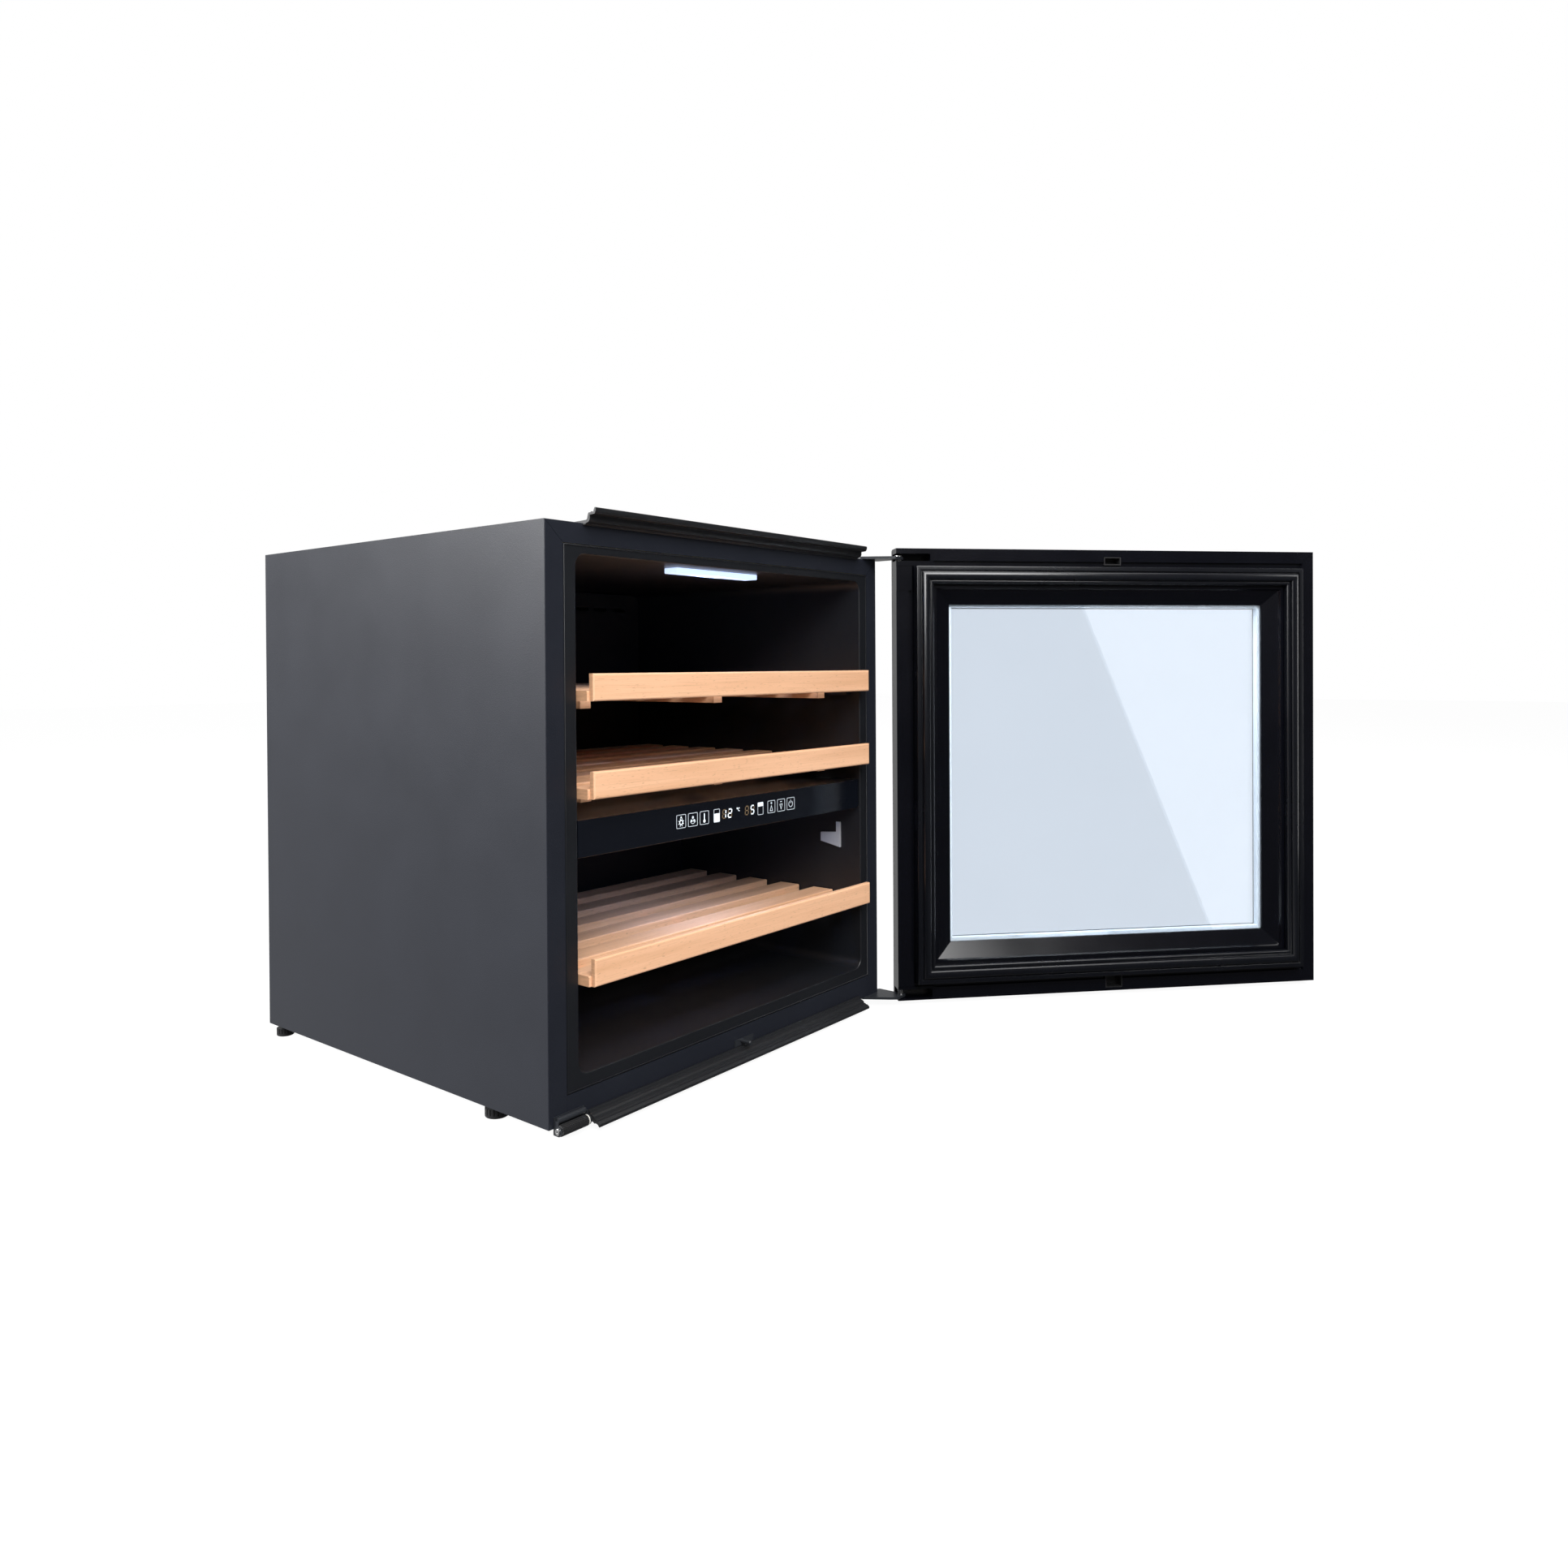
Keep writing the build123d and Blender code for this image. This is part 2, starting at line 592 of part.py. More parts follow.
def hinge_plate(low):
    """Flat steel plate screwed to the case, with an eye around the hinge pin."""
    with BuildPart() as plate:
        with BuildSketch(Plane.XY.offset(low)):
            polygon(
                [
                    (PLATE_LEFT, 2),
                    (PLATE_LEFT, 62),
                    (HALF_WIDTH - 2, 62),
                    (HALF_WIDTH - 2, 14),
                    (PLATE_RIGHT, 5),
                    (PLATE_RIGHT, PIVOT_Y),
                    (PIVOT_X, PIVOT_Y - EYE_RADIUS),
                    (272, PIVOT_Y - EYE_RADIUS),
                    (266, -28),
                ]
            )
            with Locations((PIVOT_X, PIVOT_Y)):
                Circle(EYE_RADIUS)
                Circle(PIN_RADIUS, mode=Mode.SUBTRACT)
            with Locations(*SCREW_SPOTS):
                Circle(SCREW_RADIUS + 0.2, mode=Mode.SUBTRACT)
        extrude(amount=PLATE)
    return plate.part


with BuildPart() as hinge_plates:
    add(hinge_plate(CASE_HIGH))
    add(hinge_plate(CASE_LOW - PLATE))
save(hinge_plates.part, "hinge_plates")

PIN_HEAD = 5.4
BOTTOM_PIN_REACH = 27.0  # how far the bottom pin stands up from its plate
TOP_PIN_REACH = 20.0  # how far the top pin hangs below its plate
with BuildPart() as hinge_pins:
    post(PIVOT_X, PIVOT_Y, (CASE_HIGH - TOP_PIN_REACH, CASE_HIGH + PLATE), PIN_RADIUS)
    post(PIVOT_X, PIVOT_Y, (CASE_HIGH + PLATE, CASE_HIGH + PLATE + 2), PIN_HEAD)
    post(PIVOT_X, PIVOT_Y, (CASE_LOW - PLATE, CASE_LOW + BOTTOM_PIN_REACH), PIN_RADIUS)
save(hinge_pins.part, "hinge_pins")

with BuildPart() as hinge_screws:
    for spot_x, spot_y in SCREW_SPOTS:
        post(spot_x, spot_y, (CASE_HIGH, CASE_HIGH + PLATE), SCREW_RADIUS)
        post(spot_x, spot_y, (CASE_HIGH + PLATE, CASE_HIGH + PLATE + 1.8), 2 * SCREW_RADIUS)
        post(spot_x, spot_y, (CASE_LOW - PLATE, CASE_LOW), SCREW_RADIUS)
        post(spot_x, spot_y, (CASE_LOW - PLATE - 1.8, CASE_LOW - PLATE), 2 * SCREW_RADIUS)
save(hinge_screws.part, "hinge_screws")

# ---- latch strike and the roller that carries the closed door's free end ------------------------------
STRIKE_X = -1.5
STRIKE_Z = 24.3
STRIKE_RADIUS = 2.5
with BuildPart() as latch_strike:
    block((-13, 18.5), (-1.2, 0), (CASE_LOW + 5.4, CASE_LOW + 13.2))
    with BuildSketch(front_plane(-1.2)):
        with Locations((STRIKE_X, STRIKE_Z)):
            Circle(STRIKE_RADIUS)
    extrude(amount=13.8)
    fillet(latch_strike.edges().sort_by(Axis.Y)[0], 1.6)
save(latch_strike.part, "latch_strike")

ROLLER_LEFT = -271.0
ROLLER_RIGHT = -236.8
ROLLER_Y = -6.6
ROLLER_Z = 13.0
ROLLER_RADIUS = 5.3
AXLE_RADIUS = 2.0


def roller_plane(x):
    """A plane at x on the roller's axis, with its normal along +X."""
    return Plane(origin=(x, ROLLER_Y, ROLLER_Z), x_dir=(0, 1, 0), z_dir=(1, 0, 0))


EAR = 1.2
with BuildPart() as roller_bracket:
    block((ROLLER_LEFT - EAR - 0.4, ROLLER_RIGHT + EAR + 0.4), (-1.0, 0), (CASE_LOW, CASE_LOW + 11))
    with BuildSketch(Plane.YZ.offset(ROLLER_LEFT)):
        with Locations((-3.0, CASE_LOW + 7.6)):
            Circle(3.0)
    extrude(amount=ROLLER_RIGHT - ROLLER_LEFT)
    for ear_x in (ROLLER_LEFT - EAR - 0.4, ROLLER_RIGHT + 0.4):
        with BuildSketch(roller_plane(ear_x)):
            Circle(ROLLER_RADIUS - 0.5)
            with Locations((-ROLLER_Y / 2, 2)):
                Rectangle(-ROLLER_Y, 2 * ROLLER_RADIUS + 3)
        extrude(amount=EAR)
    with BuildSketch(roller_plane(ROLLER_LEFT - EAR - 1.6)):
        Circle(AXLE_RADIUS)
    extrude(amount=ROLLER_RIGHT - ROLLER_LEFT + 2 * EAR + 2.4)
save(roller_bracket.part, "roller_bracket")

with BuildPart() as door_roller:
    with BuildSketch(roller_plane(ROLLER_LEFT)):
        Circle(ROLLER_RADIUS)
        Circle(AXLE_RADIUS + RUNNING_GAP, mode=Mode.SUBTRACT)
    extrude(amount=ROLLER_RIGHT - ROLLER_LEFT)
save(door_roller.part, "door_roller")


# ---- levelling feet -----------------------------------------------------------------------------------
def levelling_foot(x, y, radius, name):
    """Round pad with a fluted rim on a threaded stem."""
    with BuildPart() as foot:
        post(x, y, (0, 9), radius)
        fillet(foot.edges().group_by(Axis.Z)[0], 1.2)
        with Locations((x, y, 6)):
            with PolarLocations(radius, 18):
                Cylinder(0.9, 6.1, mode=Mode.SUBTRACT)
        post(x, y, (9, STEM_TOP), STEM_RADIUS)
    save(foot.part, name)


levelling_foot(-FRONT_FEET_X, FRONT_FEET_Y, 12, "front_left_foot")
levelling_foot(FRONT_FEET_X, FRONT_FEET_Y, 12, "front_right_foot")
levelling_foot(-REAR_FEET_X, REAR_FEET_Y, 10, "rear_left_foot")
levelling_foot(REAR_FEET_X, REAR_FEET_Y, 10, "rear_right_foot")

# ---- shelf runners and shelves ------------------------------------------------------------------------
RUNNER_WIDTH = 10.0
RUNNER_HEIGHT = 5.0
RUNNER_GAP = 0.3  # between a runner and the slats that slide on it
with BuildPart() as shelf_runners:
    for shelf, bottom in SHELF_BOTTOMS.items():
        for side in (-1, 1):
            block(
                (side * (CAVITY_HALF - RUNNER_WIDTH), side * (CAVITY_HALF - 0.1)),
                (14, SHELF_BACKS[shelf] + 10),
                (bottom - RUNNER_GAP - RUNNER_HEIGHT, bottom - RUNNER_GAP),
            )
    fillet(shelf_runners.edges().filter_by(Axis.Z), 1.5)
save(shelf_runners.part, "shelf_runners")

SLAT_HALF = 238.0
SLAT_WIDTH = 32.0
STRETCHER_WIDTH = 14.0
STRETCHER_HEIGHT = 9.0
STRETCHER_X = (-200.0, 0.0, 200.0)
STRETCHER_SETBACK = 45.0  # behind the front of the slats


def shelf_parts(name, bottom, back):
    """Beech shelf: a front fascia, cross slats behind it and three stretchers under the slats."""
    slat_front = SHELF_FRONT + FASCIA_THICKNESS
    with BuildPart() as fascia:
        block((-FASCIA_HALF, FASCIA_HALF), (SHELF_FRONT, slat_front), (bottom, bottom + FASCIA_HEIGHT))
        fillet(fascia.edges().group_by(Axis.Y)[0], 2.0)
    save(fascia.part, f"{name}_shelf_fascia")

    count = 8 if back > LOWER_COVER else 6
    pitch = (back - slat_front - SLAT_WIDTH) / (count - 1)
    with BuildPart() as slats:
        for index in range(count):
            start = slat_front + index * pitch
            block((-SLAT_HALF, SLAT_HALF), (start, start + SLAT_WIDTH), (bottom, bottom + SLAT_THICKNESS))
        fillet(slats.edges().filter_by(Axis.X).group_by(Axis.Z)[-1], 1.5)
    save(slats.part, f"{name}_shelf_slats")

    with BuildPart() as stretchers:
        for x in STRETCHER_X:
            block(
                (x - STRETCHER_WIDTH / 2, x + STRETCHER_WIDTH / 2),
                (slat_front + STRETCHER_SETBACK, back),
                (bottom - STRETCHER_HEIGHT, bottom),
            )
    save(stretchers.part, f"{name}_shelf_stretchers")


for shelf, bottom in SHELF_BOTTOMS.items():
    shelf_parts(shelf, bottom, SHELF_BACKS[shelf])

# ---- door, drawn closed -------------------------------------------------------------------------------
CAP_LEFT = 244.5  # the hinge caps fill the frame's corners from here to the hinge edge
CAP_SPANS = {"bottom": (DOOR_LOW, 25.0), "top": (576.3, DOOR_HIGH)}
LEG_LEFT = 274.0  # each cap has a leg along the hinge edge, which holds its bush
LEG_SPANS = {"bottom": (25.0, 56.4), "top": (544.0, 576.3)}
LEG_FRONT = DOOR_INNER + 0.6
SEAM = 0.6
SLOT_LEFT = 249.0
BOTTOM_SLOT = (CASE_LOW - 4.0, CASE_LOW + 7.8)  # clear height around each hinge plate
TOP_SLOT = (CASE_HIGH - 2.4, CASE_HIGH + 7.4)
CATCH_LEFT = -15.0
CATCH_RIGHT = 9.0
CATCH_DEPTH = 18.0
CATCH_LEVELS = {"bottom": (11.0, 29.0), "top": (579.0, 590.0)}


def mitred_ring(outline, deepest, gap=0.0):
    """Four mitred members around the door, right, left, top and bottom; outline points are (inset, y)."""
    half_height = (DOOR_HIGH - DOOR_LOW) / 2
    with BuildPart() as upright:
        with BuildSketch(Plane.XY.offset(DOOR_LOW)):
            polygon([(DOOR_HALF - inset, y) for inset, y in outline])
        extrude(amount=2 * half_height)
        with BuildSketch(front_plane(DOOR_FRONT - 1)):
            polygon(
                [
                    (DOOR_HALF, DOOR_LOW + gap),
                    (DOOR_HALF, DOOR_HIGH - gap),
                    (DOOR_HALF - deepest, DOOR_HIGH - deepest - gap),
                    (DOOR_HALF - deepest, DOOR_LOW + deepest + gap),
                ]
            )
        extrude(amount=2 * DOOR_FRONT, mode=Mode.INTERSECT)
    with BuildPart() as head:
        with BuildSketch(Plane.YZ.offset(-DOOR_HALF)):
            polygon([(y, DOOR_HIGH - inset) for inset, y in outline])
        extrude(amount=2 * DOOR_HALF)
        with BuildSketch(front_plane(DOOR_FRONT - 1)):
            polygon(
                [
                    (-DOOR_HALF + gap, DOOR_HIGH),
                    (DOOR_HALF - gap, DOOR_HIGH),
                    (DOOR_HALF - deepest - gap, DOOR_HIGH - deepest),
                    (-DOOR_HALF + deepest + gap, DOOR_HIGH - deepest),
                ]
            )
        extrude(amount=2 * DOOR_FRONT, mode=Mode.INTERSECT)
    uprights = [upright.part, mirror(upright.part, about=Plane.YZ)]
    heads = [head.part, mirror(head.part, about=Plane.XY.offset(DOOR_MIDDLE))]
    return uprights + heads


def hinge_corners(cap_front, leg_front, mode):
    """The two corner blocks of the hinge caps with their legs, up to the given inner faces."""
    for end in ("bottom", "top"):
        block((CAP_LEFT, DOOR_HALF), (DOOR_GLASS_BACK, cap_front), CAP_SPANS[end], mode=mode)
        block((LEG_LEFT, DOOR_HALF), (DOOR_GLASS_BACK, leg_front), LEG_SPANS[end], mode=mode)


with BuildPart() as door_outer_glass:
    with BuildSketch(front_plane(DOOR_GLASS_BACK)):
        with Locations((0, DOOR_MIDDLE)):
            RectangleRounded(2 * DOOR_HALF, DOOR_HIGH - DOOR_LOW, 2)
    extrude(amount=DOOR_GLASS_BACK - DOOR_FRONT)
    chamfer(door_outer_glass.edges().group_by(Axis.Y)[0], 0.6)
save_on_door(door_outer_glass.part, "door_outer_glass")

INNER_PANE_INSET = 53.0
INNER_PANE_FRONT = -32.0
INNER_PANE_BACK = -28.0
with BuildPart() as door_inner_glass:
    block(
        (INNER_PANE_INSET - DOOR_HALF, DOOR_HALF - INNER_PANE_INSET),
        (INNER_PANE_FRONT, INNER_PANE_BACK),
        (DOOR_LOW + INNER_PANE_INSET, DOOR_HIGH - INNER_PANE_INSET),
    )
save_on_door(door_inner_glass.part, "door_inner_glass")

FRAME_INSET = 48.0
FRAME_OUTLINE = [
    (0, DOOR_GLASS_BACK),
    (0, DOOR_INNER),
    (16, DOOR_INNER),
    (16.6, -22),
    (22.4, -22),
    (23, -14),
    (FRAME_INSET, -14),
    (FRAME_INSET, DOOR_GLASS_BACK),
]
with BuildPart() as door_frame_profiles:
    for member in mitred_ring(FRAME_OUTLINE, FRAME_INSET, gap=0.1):
        add(member)
    hinge_corners(0, 0, Mode.SUBTRACT)
    for low, high in CATCH_LEVELS.values():
        block((CATCH_LEFT, CATCH_RIGHT), (DOOR_INNER - CATCH_DEPTH, 0), (low, high), mode=Mode.SUBTRACT)
save_on_door(door_frame_profiles.part, "door_frame_profiles")

SPACER_OUTLINE = [
    (60, DOOR_GLASS_BACK),
    (60, INNER_PANE_FRONT),
    (77, INNER_PANE_FRONT),
    (77, DOOR_GLASS_BACK),
]
with BuildPart() as glass_spacer:
    for member in mitred_ring(SPACER_OUTLINE, 77):
        add(member)
save_on_door(glass_spacer.part, "glass_spacer")

BEZEL_OUTLINE = [
    (FRAME_INSET + 0.2, INNER_PANE_BACK),
    (FRAME_INSET + 0.2, -13),
    (52, -13),
    (53.4, -16.5),
    (73, -26),
    (73.4, INNER_PANE_BACK),
]
with BuildPart() as door_inner_bezel:
    for member in mitred_ring(BEZEL_OUTLINE, 73.4):
        add(member)
save_on_door(door_inner_bezel.part, "door_inner_bezel")

GASKET_OUTLINE = [
    (24.2, -14),
    (24.2, -4.0),
    (26, -2.6),
    (28, -2.0),
    (34.5, -2.6),
    (35.5, -1.2),
    (38, -0.8),
    (41, -1.0),
    (42.6, -2.6),
    (43.4, -7),
    (46.5, -9),
    (47, -14),
]
with BuildPart() as door_gasket:
    for member in mitred_ring(GASKET_OUTLINE, 47):
        add(member)
save_on_door(door_gasket.part, "door_gasket")

BUSH_RADIUS = 5.4
BUSH_LENGTH = 20.0
SLOT_WALL = 2.0  # left between a slot and the outer glass
BOTTOM_BUSH = (BOTTOM_SLOT[1], BOTTOM_SLOT[1] + BUSH_LENGTH)
TOP_BUSH = (TOP_SLOT[0] - BUSH_LENGTH, TOP_SLOT[0])
with BuildPart() as door_hinge_caps:
    hinge_corners(DOOR_INNER, LEG_FRONT, Mode.ADD)
    for slot in (BOTTOM_SLOT, TOP_SLOT):
        block((SLOT_LEFT, DOOR_HALF), (DOOR_GLASS_BACK + SLOT_WALL, 0), slot, mode=Mode.SUBTRACT)
    for seam in (CAP_SPANS["bottom"][1], CAP_SPANS["top"][0] - SEAM):
        block((LEG_LEFT, DOOR_HALF), (DOOR_INNER - 0.8, 0), (seam, seam + SEAM), mode=Mode.SUBTRACT)
    for bush in (BOTTOM_BUSH, TOP_BUSH):
        post(PIVOT_X, PIVOT_Y, bush, BUSH_RADIUS, mode=Mode.SUBTRACT)
save_on_door(door_hinge_caps.part, "door_hinge_caps")

with BuildPart() as hinge_bushes:
    for bush in (BOTTOM_BUSH, TOP_BUSH):
        post(PIVOT_X, PIVOT_Y, bush, BUSH_RADIUS - 0.02)
        post(PIVOT_X, PIVOT_Y, bush, PIN_RADIUS + RUNNING_GAP, mode=Mode.SUBTRACT)
save_on_door(hinge_bushes.part, "hinge_bushes")

CATCH_WALL = 1.4
with BuildPart() as latch_receptacles:
    for low, high in CATCH_LEVELS.values():
        block(
            (CATCH_LEFT + 0.1, CATCH_RIGHT - 0.1),
            (DOOR_INNER - CATCH_DEPTH, DOOR_INNER - 0.4),
            (low + 0.1, high - 0.1),
        )
        block(
            (CATCH_LEFT + CATCH_WALL, CATCH_RIGHT - CATCH_WALL),
            (DOOR_INNER - CATCH_DEPTH + CATCH_WALL, DOOR_INNER),
            (low + CATCH_WALL, high - CATCH_WALL),
            mode=Mode.SUBTRACT,
        )
save_on_door(latch_receptacles.part, "latch_receptacles")
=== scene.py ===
"""Looks of the built-in wine cooler: procedural finishes, fine pieces on the CAD part, soft studio light."""

import bmesh
import bpy
import json
import math
from mathutils import Matrix, Vector

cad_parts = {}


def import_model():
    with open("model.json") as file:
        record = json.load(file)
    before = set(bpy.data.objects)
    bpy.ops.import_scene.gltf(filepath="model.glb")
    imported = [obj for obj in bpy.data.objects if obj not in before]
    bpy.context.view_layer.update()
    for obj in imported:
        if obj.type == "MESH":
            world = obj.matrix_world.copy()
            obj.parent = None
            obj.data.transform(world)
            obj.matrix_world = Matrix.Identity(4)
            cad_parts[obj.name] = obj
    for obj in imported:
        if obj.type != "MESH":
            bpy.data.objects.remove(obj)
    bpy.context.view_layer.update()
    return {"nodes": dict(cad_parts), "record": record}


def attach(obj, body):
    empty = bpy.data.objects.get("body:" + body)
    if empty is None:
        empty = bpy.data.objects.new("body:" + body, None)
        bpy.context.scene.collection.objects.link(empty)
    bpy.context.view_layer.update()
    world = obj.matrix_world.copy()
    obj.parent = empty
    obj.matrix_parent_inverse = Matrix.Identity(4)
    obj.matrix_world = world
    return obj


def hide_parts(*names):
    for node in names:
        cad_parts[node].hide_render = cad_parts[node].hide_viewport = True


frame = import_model()
MM = 0.001  # metres

# ---- sizes and places on the part, in millimetres; pieces of the door are drawn on the closed door ------
DOOR_REST = math.radians(136.4)
PIVOT = Vector((289.0, -29.3, 0.0)) * MM
DOOR_SWING = Matrix.Translation(PIVOT) @ Matrix.Rotation(DOOR_REST, 4, "Z") @ Matrix.Translation(-PIVOT)
DOOR_HALF = 295.0  # half the door's width
DOOR_LOW = 7.2
DOOR_HIGH = 599.2

CASE_LOW = 14.0
CASE_HIGH = 585.0
TRIM_HALF = 231.0
ROLLER_ENDS = (-271.0, -236.8)  # in x
ROLLER_AXIS = (-6.6, 13.0)  # y and z
ROLLER_RADIUS = 5.3
ROLLER_BORE = 2.1
FLUTES = 20
FLUTE_DEPTH = 0.5
PANEL_Y = 1.7  # front of the control panel's glass
PRINT_INSETS = (0.8, 78.0)  # of the door glass's printed border, from the door's edge
PRINT_Y = (-41.12, -41.04)
RIM_EDGE = (254.6, 41.6, 563.0)  # half width, low and high z of the bead on the liner's rim
BEAD_RADIUS = 0.7
BEAD_Y = 0.2
BEAD_SEGMENTS = 12


# ---- materials ----------------------------------------------------------------------------------------
def new_material(name, colour, roughness, metallic=0.0, **sockets):
    """A material with one Principled shader; sockets are further constants by socket name."""
    material = bpy.data.materials.new(name)
    material.use_nodes = True
    shader = material.node_tree.nodes["Principled BSDF"]
    shader.inputs["Base Color"].default_value = (*colour, 1.0)
    shader.inputs["Roughness"].default_value = roughness
    shader.inputs["Metallic"].default_value = metallic
    for socket, value in sockets.items():
        shader.inputs[socket.replace("_", " ")].default_value = value
    return material, shader


def coordinates(tree, scale):
    """Positions on the part, in metres times scale, so a texture keeps its size in all poses."""
    source = tree.nodes.new("ShaderNodeTexCoord")
    mapping = tree.nodes.new("ShaderNodeMapping")
    mapping.inputs["Scale"].default_value = scale
    tree.links.new(source.outputs["Object"], mapping.inputs["Vector"])
    return mapping.outputs["Vector"]


def noise(tree, scale, detail=3.0, roughness=0.5):
    """Grey noise whose grains are 1/scale metres wide in x, y and z."""
    node = tree.nodes.new("ShaderNodeTexNoise")
    node.inputs["Scale"].default_value = 1.0
    node.inputs["Detail"].default_value = detail
    node.inputs["Roughness"].default_value = roughness
    tree.links.new(coordinates(tree, scale), node.inputs["Vector"])
    return node.outputs["Fac"]


def cells(tree, scale):
    """Flat random grey cells, 1/scale metres wide."""
    node = tree.nodes.new("ShaderNodeTexVoronoi")
    node.inputs["Scale"].default_value = 1.0
    tree.links.new(coordinates(tree, scale), node.inputs["Vector"])
    grey = tree.nodes.new("ShaderNodeRGBToBW")
    tree.links.new(node.outputs["Color"], grey.inputs["Color"])
    return grey.outputs["Val"]


def spread(tree, value, low, high, start=0.3, end=0.7):
    """Maps a grey value from start..end to low..high."""
    node = tree.nodes.new("ShaderNodeMapRange")
    for socket, number in (("From Min", start), ("From Max", end), ("To Min", low), ("To Max", high)):
        node.inputs[socket].default_value = number
    tree.links.new(value, node.inputs["Value"])
    return node.outputs["Result"]


# a Mix node has one set of sockets for each kind of value, so they are found by number
MIX_COLOURS = (6, 7)
MIX_COLOUR_RESULT = 2
MIX_NUMBERS = (2, 3)
MIX_NUMBER_RESULT = 0


def blend(tree, share, first, second):
    """Mixes two colours, each a tuple or a socket, by a share from 0 to 1."""
    node = tree.nodes.new("ShaderNodeMix")
    node.data_type = "RGBA"
    tree.links.new(share, node.inputs["Factor"])
    for number, colour in zip(MIX_COLOURS, (first, second)):
        socket = node.inputs[number]
        if isinstance(colour, tuple):
            socket.default_value = (*colour, 1.0)
        else:
            tree.links.new(colour, socket)
    return node.outputs[MIX_COLOUR_RESULT]


def bump(tree, shader, height, depth):
    """Raises the surface by height times depth, in metres."""
    node = tree.nodes.new("ShaderNodeBump")
    node.inputs["Distance"].default_value = depth
    tree.links.new(height, node.inputs["Height"])
    tree.links.new(node.outputs["Normal"], shader.inputs["Normal"])


def shaded(colour, factor):
    """The colour made lighter or darker."""
    return tuple(min(1.0, part * factor) for part in colour)


GLOSS_CHANGE = 0.02
PATCHES = (14.0, 14.0, 14.0)


def surface(name, colour, roughness, grain=None, depth=0.0, metallic=0.0, change=0.06):
    """A plain moulded, painted or metal finish: small changes of colour and gloss, and a fine grain.

    The grain is in bumps per metre along x, y and z, or None on a polished surface; depth is in metres.
    """
    material, shader = new_material(name, colour, roughness, metallic)
    tree = material.node_tree
    patches = noise(tree, PATCHES, 4.0)
    share = spread(tree, patches, 0.0, 1.0)
    tint = blend(tree, share, shaded(colour, 1 - change), shaded(colour, 1 + change))
    tree.links.new(tint, shader.inputs["Base Color"])
    gloss = spread(tree, patches, roughness - GLOSS_CHANGE, roughness + GLOSS_CHANGE)
    tree.links.new(gloss, shader.inputs["Roughness"])
    if grain:
        bump(tree, shader, noise(tree, grain, 2.0), depth)
    return material


def beech():
    """Oiled beech: straight pores along x, short dark flecks and darker ends."""
    pale = (0.82, 0.485, 0.295)
    warm = (0.68, 0.375, 0.21)
    pore_scale = (14.0, 900.0, 900.0)
    material, shader = new_material("beech", pale, 0.42, Coat_Weight=0.12, Coat_Roughness=0.35)
    tree = material.node_tree
    rings = spread(tree, noise(tree, (3.0, 60.0, 60.0), 3.0, 0.6), 0.0, 1.0, 0.35, 0.7)
    base = blend(tree, rings, pale, warm)
    pores = spread(tree, noise(tree, pore_scale, 2.0, 0.6), 0.0, 0.55, 0.55, 0.8)
    grained = blend(tree, pores, base, shaded(warm, 0.72))
    flecks = spread(tree, noise(tree, (150.0, 1100.0, 1100.0), 1.0), 0.0, 0.45, 0.65, 0.73)
    flecked = blend(tree, flecks, grained, shaded(warm, 0.5))
    geometry = tree.nodes.new("ShaderNodeNewGeometry")
    split = tree.nodes.new("ShaderNodeSeparateXYZ")
    tree.links.new(geometry.outputs["Normal"], split.inputs["Vector"])
    facing_ends = tree.nodes.new("ShaderNodeMath")
    facing_ends.operation = "ABSOLUTE"
    tree.links.new(split.outputs["X"], facing_ends.inputs[0])
    end_share = spread(tree, facing_ends.outputs["Value"], 0.0, 0.8, 0.8, 0.95)
    growth = spread(tree, noise(tree, (60.0, 70.0, 420.0), 3.0), 0.0, 1.0)
    end_grain = blend(tree, growth, shaded(warm, 0.95), shaded(warm, 0.62))
    whole = blend(tree, end_share, flecked, end_grain)
    tree.links.new(whole, shader.inputs["Base Color"])
    gloss = spread(tree, noise(tree, pore_scale, 2.0, 0.6), 0.36, 0.52)
    tree.links.new(gloss, shader.inputs["Roughness"])
    bump(tree, shader, pores, 0.00008)
    return material


def galvanised():
    """Hot-dip zinc with flat crystals of different brightness."""
    material, shader = new_material("galvanised_steel", (0.55, 0.57, 0.59), 0.4, 1.0)
    tree = material.node_tree
    crystals = cells(tree, (150.0, 150.0, 150.0))
    colour = blend(tree, spread(tree, crystals, 0.0, 1.0, 0.2, 0.8), (0.50, 0.52, 0.54), (0.61, 0.63, 0.65))
    tree.links.new(colour, shader.inputs["Base Color"])
    tree.links.new(spread(tree, crystals, 0.3, 0.5, 0.2, 0.8), shader.inputs["Roughness"])
    return material


def brushed(name, colour, scale, roughness):
    """Metal with fine lines along the axis with the smallest scale, or an even grain if all are alike."""
    material, shader = new_material(name, colour, roughness, 1.0)
    tree = material.node_tree
    lines = noise(tree, scale, 3.0)
    tint = blend(tree, spread(tree, lines, 0.0, 1.0), shaded(colour, 0.82), shaded(colour, 1.1))
    tree.links.new(tint, shader.inputs["Base Color"])
    tree.links.new(spread(tree, lines, roughness - 0.08, roughness + 0.08), shader.inputs["Roughness"])
    bump(tree, shader, lines, 0.00002)
    return material


def board_green():
    """Solder mask with faint tracks under it."""
    material, shader = new_material("circuit_board", (0.01, 0.13, 0.05), 0.35)
    tree = material.node_tree
    tracks = spread(tree, cells(tree, (260.0, 260.0, 900.0)), 0.0, 1.0, 0.45, 0.55)
    tree.links.new(blend(tree, tracks, (0.01, 0.12, 0.045), (0.03, 0.21, 0.08)), shader.inputs["Base Color"])
    bump(tree, shader, tracks, 0.00004)
    return material


